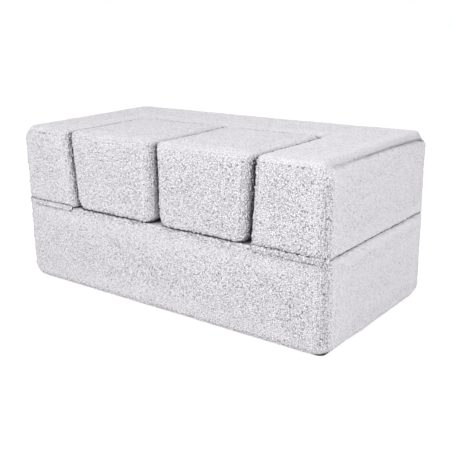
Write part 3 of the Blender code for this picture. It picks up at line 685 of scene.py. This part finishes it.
def dress(item, form, seams, free, slot=None):
    """Gives a cover or a strip its seams and curls. Each seam has its line, half width, depth and a
    function that fades it, free(points) is zero where the cover lies on something, and slot is the
    place of the slot for a zip and half its length."""
    mesh = item.data
    points = vectors_of(mesh)
    is_block = form.high - form.low > RIM_REACH
    if is_block:
        points[:, 1] = press_front(points[:, 1], FRONT_LIMIT)
    normals = vectors_of(mesh, "normal")
    loose = free(points)
    standing = nap_and_facing_shade(points, normals)
    height = noise_at(points, SLACK_SIZE) * SLACK_HEIGHT * loose
    crease = np.zeros(len(points))
    wander = [noise.noise_vector(Vector(p) / SEAM_WANDER_SIZE) for p in points]
    astray = points + np.array(wander) * SEAM_WANDER
    for line, half_width, depth, fade in seams:
        share = bell(distance_to_line(astray, line), half_width) * fade(points)
        height -= depth * share
        # How deep the seams sink here, which also sets how much painted shade they get in the material
        crease = np.maximum(crease, share * depth / VALLEY_DEPTH)
    height += puckers(points, form)
    curl = CURL_MIDDLE + (curl_heights(points) - CURL_MIDDLE) * loose
    rim = bell(distance_to_lines(points, form.sharp_lines()), RIM_REACH)
    rise = CURL_HEIGHT * (curl - CURL_MIDDLE) * (CURL_LEAST + (1 - CURL_LEAST) * standing)
    height += rise * (1 + RIM_CURLS * rim) * (1 - crease / 2)
    moved = points + normals * height[:, None]
    if is_block:
        moved[:, 1] = press_front(moved[:, 1], TIP_LIMIT)
    if slot:
        moved, sunk = sink_slot(moved, *slot)
        # The zip slot gets painted shade as well
        crease = np.maximum(crease, sunk / 2)
    put_points(mesh, moved)
    # For the material: it paints shade by the curls, creases and facing of the points, and a highlight on the
    # rims
    stored = {"curl": curl, "crease": crease, "nap_and_facing_shade": standing, "rim": rim, "rest": points}
    for name, values in stored.items():
        put_attribute(mesh, name, values)
    mesh.shade_smooth()


def press_front(ys, limit):
    """Presses a front in to a y and a softness, so that the fronts clear each other when the upper
    block lies turned over."""
    return limit[1] * np.logaddexp(0, (ys + limit[0]) / limit[1]) - limit[0]


def ridges(points, near, size, height):
    """Uneven ridges where near is above zero."""
    picked = near > RIDGE_LEAST
    found = np.zeros(len(points))
    found[picked] = noise_at(points[picked], size)
    return height * found * near


def puckers(points, form):
    """The uneven ridges along the upright corners of a block, the mouths of the gaps and the sides
    of the joint."""
    height = np.zeros(len(points))
    if max(abs(x) for x, _ in form.corners(form.low)) >= HALF_WIDTH:
        away = np.hypot(np.abs(points[:, 0]) - CORNER_PLACE[0], np.abs(points[:, 1]) - CORNER_PLACE[1])
        height += ridges(points, bell(away, PUCKER_REACH), PUCKER_SIZE, PUCKER_HEIGHT)
    for lines, rise in ((mouth_lines(form), RAGGED_HEIGHT), (side_lines(form), SIDE_RAGGED_HEIGHT)):
        if lines:
            near = bell(distance_to_lines(points, lines), RAGGED_REACH)
            height += ridges(points, near, RAGGED_SIZE, rise)
    return height


def side_lines(form):
    """The edges of a block along its sides where the base and the upper block meet."""
    z = {BASE_TOP: BASE_TOP, UPPER_TOP: UPPER_LOW}.get(form.high)
    if z is None:
        return []
    return [[(x, -HALF_DEPTH, z), (x, HALF_DEPTH, z)] for x in (-HALF_WIDTH, HALF_WIDTH)]


def mouth_lines(form):
    """The edges of a block along the front of the gaps round the poufs."""
    lines = [
        [low, high] for low, high in zip(form.ring(form.low), form.ring(form.high))
        if low[1] == -HALF_DEPTH and abs(low[0]) < HALF_WIDTH
    ]
    if form.high == POUF_TOP:
        lines.append([lines[0][0], lines[1][0]])
    if form.high == BASE_TOP:
        inner = cavity_half_width(UPPER_LOW)
        lines.append([(-inner, -HALF_DEPTH, BASE_TOP), (inner, -HALF_DEPTH, BASE_TOP)])
    return lines


def always(points):
    """A seam that doesn't fade."""
    return np.ones(len(points))


def dashes(points):
    """A seam that the curls hide here and there."""
    return DASH_LEAST + (1 - DASH_LEAST) * smooth_step(noise_at(points, DASH_SIZE) * 2 + 0.5)


def valley_fade(points):
    """The side valleys of the top start behind the front edge and get deeper towards the back."""
    behind = points[:, 1] + HALF_DEPTH - VALLEY_START
    rear = smooth_step(1 - (HALF_DEPTH - points[:, 1]) / VALLEY_REAR_REACH)
    grown = VALLEY_GROWTH * smooth_step(behind / VALLEY_GROWTH_REACH)
    return smooth_step(behind / VALLEY_START_FADE) * (VALLEY_LEAST + grown + VALLEY_GROWTH * rear)


def corner_seams(low, high):
    """The upright seams on the four corners of a block."""
    x, y = CORNER_PLACE
    lines = [[(i * x, j * y, low), (i * x, j * y, high)] for i in (-1, 1) for j in (-1, 1)]
    return [(line, SEAM_HALF_WIDTH, CORNER_SEAM_DEPTH, always) for line in lines]


def valley_inset(y, drop):
    """How far from the side the rounded edge is, at a y and a drop below the top."""
    radius = edge_radius(np.array(HALF_WIDTH), np.array(y), TOP_EASE)
    level = max(radius - drop, 0)
    return float(radius - math.sqrt(radius ** 2 - level ** 2))


def strip_seam(side, z):
    """The line where a hinge strip is sewn to a block, at a height."""
    inner = side * (cavity_half_width(UPPER_LOW) + STRIP_INNER_MARGIN)
    xs = np.linspace(inner, side * (HALF_WIDTH - STRIP_OUTER_MARGIN), STRIP_SEAM_POINTS)
    line = [(x, y, z) for x, y in zip(xs, recede(xs) - HALF_DEPTH)]
    return (line, STRIP_SEAM_HALF_WIDTH, STRIP_SEAM_DEPTH, dashes)


def base_seams():
    """The seams of the base cover."""
    corners = corner_seams(BASE_LOW + BOTTOM_EASE[0], BASE_TOP)
    return corners + [strip_seam(side, SEWN_BELOW) for side in SIDES.values()]


def upper_seams():
    """The seams of the upper cover."""
    seams = corner_seams(UPPER_LOW, UPPER_TOP - TOP_EASE[0])
    for side in SIDES.values():
        for inwards, half_width, depth in (
            (0, VALLEY_HALF_WIDTH, VALLEY_DEPTH), (ROLL_INWARDS, ROLL_HALF_WIDTH, ROLL_DEPTH),
        ):
            line = [
                (side * (HALF_WIDTH - valley_inset(y, drop) - inwards), y, UPPER_TOP - max(drop - inwards, 0))
                for y, drop in VALLEY_PLACES
            ]
            seams.append((line, half_width, depth, valley_fade))
        inner = side * cavity_half_width(UPPER_TOP)
        top = UPPER_TOP + TOP_SEAM_RISE
        line = [(inner, cavity_back(UPPER_TOP), top), (inner, HALF_DEPTH, top)]
        seams.append((line, SEAM_HALF_WIDTH, SEAM_DEPTH, always))
        face = -HALF_DEPTH + FACE_SEAM_INSET
        high = UPPER_TOP - FACE_SEAM_DROP
        near = side * (cavity_half_width(high) + INNER_CORNER_RADIUS)
        line = [(near, face, high), (side * (HALF_WIDTH - OUTER_CORNER_RADIUS), face, high)]
        seams.append((line, SEAM_HALF_WIDTH, FACE_SEAM_DEPTH, dashes))
        seams.append(strip_seam(side, SEWN_ABOVE))
    return seams


def pouf_seams(side):
    """The seam round the top of a pouf."""
    line = [(x, y, POUF_TOP) for x, y in inner_plan(pouf_corners(side)(POUF_TOP), POUF_SEAM_INSET)]
    return [(line + line[:1], SEAM_HALF_WIDTH, POUF_SEAM_DEPTH, always)]


def free_between(low, high):
    """A function that is zero on the level faces of a block at two heights, and one elsewhere and
    on their rounded front edges."""

    def free(points):
        near = np.minimum(points[:, 2] - low, high - points[:, 2])
        lip = smooth_step((LIP_REACH - HALF_DEPTH - points[:, 1]) / LIP_FADE)
        return np.maximum(smooth_step(near / CONTACT_FADE), lip)

    return free


def near_slot(slot_frame, slot_half):
    """A function that is true near the slot of a zip."""
    back = slot_frame.inverted()
    reach = (slot_half + ZIP_SLOT_REACH, CORE_INSET, 2 * ZIP_SLOT_REACH)
    return lambda centre: all(abs(way) < limit for way, limit in zip(back @ centre, reach))


def seen_front(centre, normal):
    """True on the front of a block, its rounded ends and the mouths of the gaps."""
    reach = SEEN_MOUTH if abs(centre.x) < HALF_WIDTH - OUTER_CORNER_RADIUS else SEEN_CORNER
    return centre.y < -HALF_DEPTH + reach and abs(normal.z) < FLAT_FACING


def seen_on_pouf(centre, normal):
    """True for the top, the front and the rim of a pouf."""
    return centre.z > POUF_TOP - SEEN_RIM or centre.y < -HALF_DEPTH + SEEN_RIM and normal.z > -FLAT_FACING


def name_of_node(name):
    """The CAD node that a piece stands for."""
    return name.replace("_teddy", "")


def make_cover(body, form, cell, seams, seen, slot):
    """The cover of a body, from its block to its curls."""
    name = f"{body}_cover_teddy"
    item = form.build(name, cell)
    heights = (form.low, form.high if body == "base" else NONE_ABOVE)
    free = free_between(*heights)
    fill(item, form, free)
    merge_level(item.data, heights)
    by_zip = near_slot(*slot)
    refine(item.data, lambda centre, normal: seen(centre, normal) or by_zip(centre))
    dress(item, form, seams, free, slot)
    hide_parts(name_of_node(name))
    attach(item, body)
    return item


def recede(xs):
    """How far the front of a block stands back near its rounded upright edges, at each x."""
    into = np.clip(np.abs(xs) - (HALF_WIDTH - OUTER_CORNER_RADIUS), 0, OUTER_CORNER_RADIUS)
    return OUTER_CORNER_RADIUS - np.sqrt(OUTER_CORNER_RADIUS ** 2 - into ** 2)


def make_strip(side, name):
    """A hinge strip: a band of the fabric that joins the front of an arm to the base."""
    inner = cavity_half_width(UPPER_LOW) + STRIP_INNER_MARGIN
    xs = sorted((side * inner, side * (HALF_WIDTH - STRIP_OUTER_MARGIN)))
    ys = (-HALF_DEPTH - STRIP_FRONT, -HALF_DEPTH - STRIP_REAR)
    middle = JOINT_MIDDLE
    plan = plan_block(xs, ys)
    radii = [STRIP_RADIUS] * 4
    form = Form(lambda z: plan, middle - STRIP_REACH, middle + STRIP_REACH, radii, radii, radii, NO_CROWNS)
    item = form.build(name, STRIP_CELL)
    points = vectors_of(item.data)
    from_end = np.minimum(points[:, 0] - xs[0], xs[1] - points[:, 0])
    front = np.clip((ys[1] - points[:, 1]) / (STRIP_FRONT - STRIP_REAR), 0, 1)
    points[:, 1] += recede(points[:, 0]) + STRIP_THIN * front * (1 - smooth_step(from_end / STRIP_TAPER))
    put_points(item.data, points)
    dress(item, form, [], always)
    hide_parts(name_of_node(name))
    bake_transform(item)
    return item


def make_core(name, body, corners, low, high):
    """The foam inside a cover."""
    radii = [CORE_RADIUS] * 4
    form = Form(corners, low + CORE_INSET, high - CORE_INSET, radii, radii, radii, NO_CROWNS)
    item = form.build(name, CORE_CELL)
    item.data.shade_smooth()
    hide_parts(name.replace("_cut_foam", "_foam_core"))
    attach(item, body)
    return item


def make_cores():
    """The foam of the base, the two arms, the back and the two poufs."""
    wide, deep = HALF_WIDTH - CORE_INSET, HALF_DEPTH - CORE_INSET

    def inside(corners):
        return lambda z: inner_plan(corners(z), CORE_INSET)

    def arm(side):
        def corners(z):
            xs = sorted((side * (cavity_half_width(z) + CORE_INSET), side * wide))
            return plan_block(xs, (-deep, deep))

        return corners

    def back(z):
        inner = cavity_half_width(UPPER_LOW) - CORE_INSET
        return plan_block((-inner, inner), (cavity_back(z) + CORE_INSET, deep))

    cores = [make_core("base_cut_foam", "base", inside(base_corners), BASE_LOW, BASE_TOP)]
    for word, side in SIDES.items():
        cores.append(make_core(f"{word}_arm_cut_foam", "upper", arm(side), UPPER_LOW, UPPER_TOP))
    cores.append(make_core("back_cut_foam", "upper", back, UPPER_LOW, UPPER_TOP))
    for word, side in SIDES.items():
        body = f"pouf_{word}"
        cores.append(make_core(f"{body}_cut_foam", body, inside(pouf_corners(side)), UPPER_LOW, POUF_TOP))
    return cores


# Zips, each drawn in its own frame: x along it, y out of the cover and z across it


def block_zip(low):
    """The place of the slot of a zip on the rear of a block, and half its length."""
    return Matrix.Translation((0, HALF_DEPTH, low + ZIP_RISE)), BLOCK_ZIP_HALF


def pouf_zip(node):
    """The place of the slot of a zip on the sloping rear of a pouf, and half its length."""
    low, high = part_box(node)
    z = UPPER_LOW + ZIP_RISE
    y = cavity_back(z) - POUF_CAD_GAP / math.cos(CAVITY_SLOPE)
    place = Matrix.Translation(((low.x + high.x) / 2, y, z)) @ Matrix.Rotation(-CAVITY_SLOPE, 4, "X")
    return place, (high.x - low.x) / 2


def add_block(shape, middle, size):
    """Adds a small box and returns its points."""
    place = Matrix.Translation(middle) @ Matrix.Diagonal((*size, 1))
    return bmesh.ops.create_cube(shape, size=1.0, matrix=place)["verts"]


def round_edges(shape, edges, width, segments=2):
    """Rounds some edges of a shape."""
    bmesh.ops.bevel(shape, geom=edges, offset=width, segments=segments, profile=0.5, affect="EDGES")


def edges_at(points):
    """The edges that meet some points."""
    return list(dict.fromkeys(e for p in points for e in p.link_edges))


def run_of(edge, axis):
    """How far an edge runs along an axis."""
    return abs(edge.verts[0].co[axis] - edge.verts[1].co[axis])


def add_tapes(shape, half):
    """Two woven tapes with the slit between them."""
    for side in (-1, 1):
        middle = (0, (TAPE_FRONT + TAPE_BACK) / 2, side * (TAPE_NEAR + TAPE_FAR) / 2)
        points = add_block(shape, middle, (2 * half, TAPE_FRONT - TAPE_BACK, TAPE_FAR - TAPE_NEAR))
        round_edges(shape, [e for e in edges_at(points) if run_of(e, 0) > half], TAPE_EDGE)


def add_teeth(shape, half):
    """Teeth that mesh from both sides, narrower at their heads, and the stops at both ends."""
    run = half - STOP_LENGTH
    count = int(2 * run / (TOOTH_PITCH / 2))
    for i in range(count):
        side = 1 if i % 2 else -1
        x = -run + (i + 0.5) * 2 * run / count
        points = add_block(shape, (x, TOOTH_MIDDLE[0], side * TOOTH_MIDDLE[1]), TOOTH_SIZE)
        for point in points:
            if point.co.z * side < TOOTH_MIDDLE[1]:
                point.co.x = x + (point.co.x - x) * TOOTH_HEAD
                point.co.y = TOOTH_MIDDLE[0] + (point.co.y - TOOTH_MIDDLE[0]) * TOOTH_HEAD
    for end in (-1, 1):
        middle = (end * (half - STOP_LENGTH * STOP_PLACE), TOOTH_MIDDLE[0], 0)
        points = add_block(shape, middle, (STOP_LENGTH / 2, TOOTH_SIZE[1], 2 * TOOTH_SIZE[2]))
        round_edges(shape, edges_at(points), STOP_EDGE)


def add_stitches(shape, half):
    """A row of stitches along the far side of each tape."""
    count = int(2 * (half - STOP_LENGTH / 2) / STITCH_PITCH)
    for side in (-1, 1):
        for i in range(count):
            x = (i + 0.5 - count / 2) * STITCH_PITCH
            add_block(shape, (x, TAPE_FRONT + STITCH_SIZE[1] / 4, side * STITCH_FROM_SLIT), STITCH_SIZE)


def make_zip(body, slot, materials):
    """The tapes, teeth and stitches of one zip. Its slider and pull are those of the frame."""
    node = f"{body}_zip"
    parts = []
    builders = {"tape": add_tapes, "teeth": add_teeth, "stitches": add_stitches}
    for (kind, build), material in zip(builders.items(), materials):
        shape = bmesh.new()
        build(shape, slot[1])
        shape.transform(slot[0])
        item = show(f"{node}_{kind}", shape)
        item.data.materials.append(material)
        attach(item, body)
        parts.append(item)
    for item in parts:
        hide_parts(node)


def make_underside():
    """The panel that the sofa stands on, dotted for grip."""
    width, depth = 2 * (HALF_WIDTH - UNDERSIDE_MARGIN), 2 * (HALF_DEPTH - UNDERSIDE_MARGIN)
    size = (width, depth, UNDERSIDE_THICKNESS)
    middle = UNDERSIDE_THICKNESS / 2
    shape = bmesh.new()
    add_block(shape, (0, 0, middle), size)
    round_edges(shape, [e for e in shape.edges if run_of(e, 2) > middle], UNDERSIDE_RADIUS, 8)
    round_edges(shape, [e for e in shape.edges if run_of(e, 2) < middle], UNDERSIDE_EDGE)
    item = show("base_underside_dotted", shape)
    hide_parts("base_underside")
    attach(item, "base")
    return item


# Materials


class Tree:
    """The shader tree of a material or world. Each input is a number, a vector or a socket, and all
    methods but put and add give sockets."""

    def __init__(self, owner):
        owner.use_nodes = True
        self.nodes = owner.node_tree.nodes
        self.links = owner.node_tree.links

    def put(self, node, inputs):
        """Sets some inputs of a node."""
        for key, value in inputs.items():
            if isinstance(value, bpy.types.NodeSocket):
                self.links.new(value, node.inputs[key])
            else:
                node.inputs[key].default_value = value
        return node

    def add(self, kind, inputs, **values):
        """A node with some of its inputs and settings."""
        node = self.nodes.new(kind)
        for key, value in values.items():
            setattr(node, key, value)
        return self.put(node, inputs)

    def stored(self, name, output="Fac"):
        """What the mesh stores for each point under a name."""
        return self.add("ShaderNodeAttribute", {}, attribute_name=name).outputs[output]

    def work_out(self, operation, *values, clamp=False):
        """The result of a calculation."""
        inputs = dict(enumerate(values))
        return self.add("ShaderNodeMath", inputs, operation=operation, use_clamp=clamp).outputs[0]

    def add_share(self, value, share, start):
        """start with a share of value added to it."""
        return self.work_out("MULTIPLY_ADD", value, share, start)

    def move(self, operation, place, other):
        """The result of a calculation with two vectors."""
        return self.add("ShaderNodeVectorMath", {0: place, 1: other}, operation=operation).outputs[0]

    def ramp(self, value, start, end, low=0.0, high=1.0, kind="LINEAR"):
        """Runs from low to high while a value runs from start to end."""
        inputs = {"Value": value, "From Min": start, "From Max": end, "To Min": low, "To Max": high}
        return self.add("ShaderNodeMapRange", inputs, interpolation_type=kind).outputs[0]

    def clouds(self, place, size, detail, output="Fac"):
        """Smooth noise."""
        inputs = {"Vector": place, "Scale": 1 / size, "Detail": detail}
        return self.add("ShaderNodeTexNoise", inputs).outputs[output]

    def cells(self, place, size, evenness, **values):
        """The distance to the middle of a cell or, where the settings say so, to its edge."""
        inputs = {"Vector": place, "Scale": 1 / size, "Randomness": evenness}
        return self.add("ShaderNodeTexVoronoi", inputs, **values).outputs["Distance"]

    def mix(self, share, low, high):
        """A colour between two others."""
        return self.add("ShaderNodeMix", {"Factor": share, 6: low, 7: high}, data_type="RGBA").outputs[2]

    def bump(self, height, distance, **more):
        """The normal of a surface with bumps."""
        inputs = {"Height": height, "Distance": distance, **more}
        return self.add("ShaderNodeBump", inputs).outputs["Normal"]


def teddy_material():
    """Curly teddy fabric over the curls of the mesh: pale loops, with painted shade in the lines and pits
    between them, in creases, hollows and gaps, and a painted highlight on the rims.
    """
    made = bpy.data.materials.new("teddy_fabric_look")
    tree = Tree(made)
    rest = tree.stored("rest", "Vector")
    crease, rim = tree.stored("crease"), tree.stored("rim")
    shift = tree.move("MULTIPLY", tree.clouds(rest, WOBBLE_SIZE, 1.0, "Color"), (WOBBLE_REACH,) * 3)
    place = tree.move("ADD", rest, shift)
    loops = tree.cells(place, LOOP_SIZE, LOOP_EVENNESS, feature="DISTANCE_TO_EDGE")
    # Painted shade from ambient occlusion: how hidden a point is, which counts less near the floor
    height = tree.add("ShaderNodeSeparateXYZ", {0: rest}).outputs["Z"]
    above = tree.ramp(height, 0.0, FLOOR_HOLLOW_REACH, FLOOR_PAINTED_SHADE_SHARE)
    hollow = tree.add("ShaderNodeAmbientOcclusion", {"Distance": HOLLOW_REACH}, samples=4).outputs["AO"]
    shaded = tree.ramp(hollow, *HOLLOW_RANGE, high=above)
    # How much painted shade it gets: between the loops, in the pits of the curls, in the seams and in the
    # gaps, less on the rims
    line_edge = tree.add_share(shaded, LOOP_OPEN, LOOP_LINE[1])
    line = tree.ramp(loops, line_edge, LOOP_LINE[0], kind="SMOOTHSTEP")
    pit = tree.ramp(tree.stored("curl"), *PIT_RANGE, kind="SMOOTHSTEP")
    either = tree.work_out("MAXIMUM", line, tree.work_out("MULTIPLY", pit, PIT_PAINTED_SHADE))
    dark = tree.work_out("MULTIPLY", either, tree.add_share(rim, RIM_LESS_PAINTED_SHADE, tree.stored("nap_and_facing_shade")))
    dark = tree.add_share(crease, CREASE_PAINTED_SHADE, dark)
    dark = tree.add_share(tree.work_out("POWER", shaded, GAP_POWER), GAP_PAINTED_SHADE, dark)
    dark = tree.work_out("MULTIPLY_ADD", shaded, HOLLOW_PAINTED_SHADE, dark, clamp=True)
    # Painted highlight on the rims, over a random tone of the loops
    pale = tree.add_share(rim, RIM_PAINTED_HIGHLIGHT, tree.clouds(rest, PATCH_SIZE, 2.0))
    # The colours of the loops, and of the painted shade, near black deep in the hollows
    colours = tree.mix(pale, *LOOP_TONES_AND_RIM_HIGHLIGHT), tree.mix(shaded, *PAINTED_SHADE_COLOURS)
    coarse = tree.bump(loops, LOOP_BUMP)
    fine = tree.bump(tree.clouds(rest, FIBRE_SIZE, 2.0), FIBRE_BUMP, Normal=coarse)
    inputs = {"Base Color": tree.mix(dark, *colours), "Normal": fine, **TEDDY_SHADER}
    tree.put(tree.nodes["Principled BSDF"], inputs)
    return made


def patterned_material(name, look, pattern):
    """A material whose colour and bumps follow a pattern: pattern(tree, place) gives the share of
    the second colour, the height of the bumps and further inputs of the shader."""
    colour, low, high, roughness, metallic, bumps = look
    made = bpy.data.materials.new(name)
    tree = Tree(made)
    shader = tree.nodes["Principled BSDF"]
    share, height, more = pattern(tree, tree.add("ShaderNodeTexCoord", {}).outputs["Object"])
    tree.put(shader, {"Base Color": colour, "Roughness": roughness, "Metallic": metallic})
    tree.put(shader, {"Base Color": tree.mix(share, low, high), "Normal": tree.bump(height, bumps)})
    tree.put(shader, more)
    return made


def foam_pattern(tree, place):
    """Cut foam with open cells."""
    return tree.clouds(place, FOAM_TINT_SIZE, 4.0), tree.cells(place, FOAM_CELL_SIZE, 1.0), {}


def tape_pattern(tree, place):
    """Woven zip tape: a fine herringbone of ribs."""
    split = tree.add("ShaderNodeSeparateXYZ", {0: place}).outputs
    ribs = []
    for turn in (1.0, -1.0):
        across = tree.add_share(split["Z"], turn, split["X"])
        ribs.append(tree.work_out("SINE", tree.work_out("MULTIPLY", across, 2 * math.pi / RIB_PITCH)))
    weave = tree.work_out("MAXIMUM", *ribs)
    return weave, weave, {"Sheen Weight": TAPE_SHEEN}


def teeth_pattern(tree, place):
    """Moulded plastic zip teeth."""
    flow = tree.clouds(place, FLOW_SIZE, 2.0)
    return flow, flow, {}


def thread_pattern(tree, place):
    """Twisted sewing thread."""
    inputs = {"Vector": place, "Scale": 1 / THREAD_PITCH, "Distortion": 1.0}
    twist = tree.add("ShaderNodeTexWave", inputs, bands_direction="DIAGONAL").outputs["Fac"]
    return twist, twist, {}


def metal_pattern(tree, place):
    """Plated metal of the sliders and pulls, brushed and a little worn."""
    drawn_out = tree.add("ShaderNodeMapping", {"Vector": place, "Scale": BRUSH_SCALE}).outputs[0]
    brush = tree.clouds(drawn_out, 1.0, 3.0)
    wear = tree.clouds(place, WEAR_SIZE, 4.0)
    return brush, brush, {"Roughness": tree.ramp(wear, 0.0, 1.0, *WEAR_ROUGHNESS)}


def grip_pattern(tree, place):
    """Dark woven panel with raised rubber dots."""
    dots = tree.cells(place, DOT_PITCH, 0.0, voronoi_dimensions="2D")
    dot = tree.ramp(dots, *DOT_RIM, kind="SMOOTHSTEP")
    weave = tree.add("ShaderNodeTexChecker", {"Vector": place, "Scale": 1 / WEAVE_PITCH}).outputs["Fac"]
    roughness = tree.ramp(dot, 0.0, 1.0, *DOT_ROUGHNESS)
    return dot, tree.add_share(weave, WEAVE_HEIGHT, dot), {"Roughness": roughness}


# Room


def add_camera():
    """The camera of the photograph."""
    data = bpy.data.cameras.new("camera")
    data.lens = CAMERA_LENS
    data.sensor_width = SENSOR
    data.clip_end = CAMERA_END
    camera = bpy.data.objects.new("camera", data)
    bpy.context.scene.collection.objects.link(camera)
    turn = Matrix.Rotation(CAMERA_YAW, 4, "Z") @ Matrix.Rotation(math.pi / 2 - CAMERA_PITCH, 4, "X")
    camera.matrix_world = Matrix.Translation(CAMERA_PLACE) @ turn @ Matrix.Rotation(CAMERA_ROLL, 4, "Z")
    bpy.context.scene.camera = camera


def add_lamp(name, place, target, size, power):
    """A soft square lamp that looks at a point."""
    data = bpy.data.lights.new(name, "AREA")
    data.shape = "SQUARE"
    data.size = size
    data.energy = power
    lamp = bpy.data.objects.new(name, data)
    bpy.context.scene.collection.objects.link(lamp)
    lamp.location = place
    lamp.rotation_euler = (Vector(target) - Vector(place)).to_track_quat("-Z", "Y").to_euler()


def by_view(tree, for_light, for_camera):
    """One shader for the light on the sofa, and another one for what the camera sees, also in metal
    or glass."""
    rays = tree.add("ShaderNodeLightPath", {}).outputs
    direct = tree.work_out("ADD", rays["Is Camera Ray"], rays["Is Glossy Ray"])
    seen = tree.work_out("ADD", direct, rays["Is Transmission Ray"], clamp=True)
    return tree.add("ShaderNodeMixShader", {0: seen, 1: for_light, 2: for_camera}).outputs[0]


def add_world():
    """A plain soft room, white where the camera sees it."""
    world = bpy.data.worlds.new("room")
    bpy.context.scene.world = world
    tree = Tree(world)
    room = tree.put(tree.nodes["Background"], {"Color": WHITE, "Strength": WORLD_STRENGTH})
    white = tree.add("ShaderNodeBackground", {"Color": WHITE, "Strength": 1.0})
    surface = by_view(tree, room.outputs[0], white.outputs[0])
    tree.put(tree.nodes["World Output"], {"Surface": surface})


def glowing_paint(tree, grey, strength):
    """A dull paint that glows a little."""
    paint = tree.add("ShaderNodeBsdfDiffuse", {"Color": (grey, grey, grey, 1)}).outputs[0]
    glow = tree.add("ShaderNodeEmission", {"Strength": strength}).outputs[0]
    return tree.add("ShaderNodeAddShader", {0: paint, 1: glow}).outputs[0]


def add_floor():
    """A white floor that keeps a pale shadow of the sofa."""
    shape = bmesh.new()
    bmesh.ops.create_grid(shape, x_segments=1, y_segments=1, size=FLOOR_SIZE)
    floor = show("floor", shape)
    made = bpy.data.materials.new("white_floor")
    tree = Tree(made)
    tree.nodes.remove(tree.nodes["Principled BSDF"])
    paints = [glowing_paint(tree, *paint) for paint in (FLOOR_FOR_LIGHT, FLOOR_FOR_CAMERA)]
    tree.put(tree.nodes["Material Output"], {"Surface": by_view(tree, *paints)})
    floor.data.materials.append(made)


def give_material(node, made):
    """Gives a node of the frame a material."""
    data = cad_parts[node].data
    data.materials.clear()
    data.materials.append(made)


def main():
    """Builds the looks."""
    zip_looks = (
        patterned_material("zip_tape_look", TAPE_LOOK, tape_pattern),
        patterned_material("zip_teeth_look", TEETH_LOOK, teeth_pattern),
        patterned_material("thread_look", THREAD_LOOK, thread_pattern),
    )
    slots = {"base": block_zip(BASE_LOW), "upper": block_zip(UPPER_LOW)}
    covers = [
        make_cover("base", BASE_FORM, BLOCK_CELL, base_seams(), seen_front, slots["base"]),
        make_cover("upper", UPPER_FORM, BLOCK_CELL, upper_seams(), seen_front, slots["upper"]),
    ]
    for body, slot in slots.items():
        make_zip(body, slot, zip_looks)
    for word, side in SIDES.items():
        body = f"pouf_{word}"
        slot = pouf_zip(f"{body}_zip")
        covers.append(make_cover(body, POUF_FORMS[side], POUF_CELL, pouf_seams(side), seen_on_pouf, slot))
        make_zip(body, slot, zip_looks)
    covers += [make_strip(side, f"hinge_strip_{word}_teddy") for word, side in SIDES.items()]
    teddy = teddy_material()
    for cover in covers:
        cover.data.materials.append(teddy)
    foam = patterned_material("foam_look", FOAM_LOOK, foam_pattern)
    for core in make_cores():
        core.data.materials.append(foam)
    grip = patterned_material("non_slip_look", GRIP_LOOK, grip_pattern)
    make_underside().data.materials.append(grip)
    metal = patterned_material("zip_metal_look", METAL_LOOK, metal_pattern)
    for node in (
        "base_zip_slider", "base_zip_pull", "upper_zip_slider", "upper_zip_pull",
        "pouf_left_zip_slider", "pouf_right_zip_slider",
    ):
        give_material(node, metal)
    add_camera()
    add_world()
    for name, settings in LAMPS.items():
        add_lamp(name, *settings)
    add_floor()
    bpy.context.scene.view_settings.view_transform = "Standard"


main()
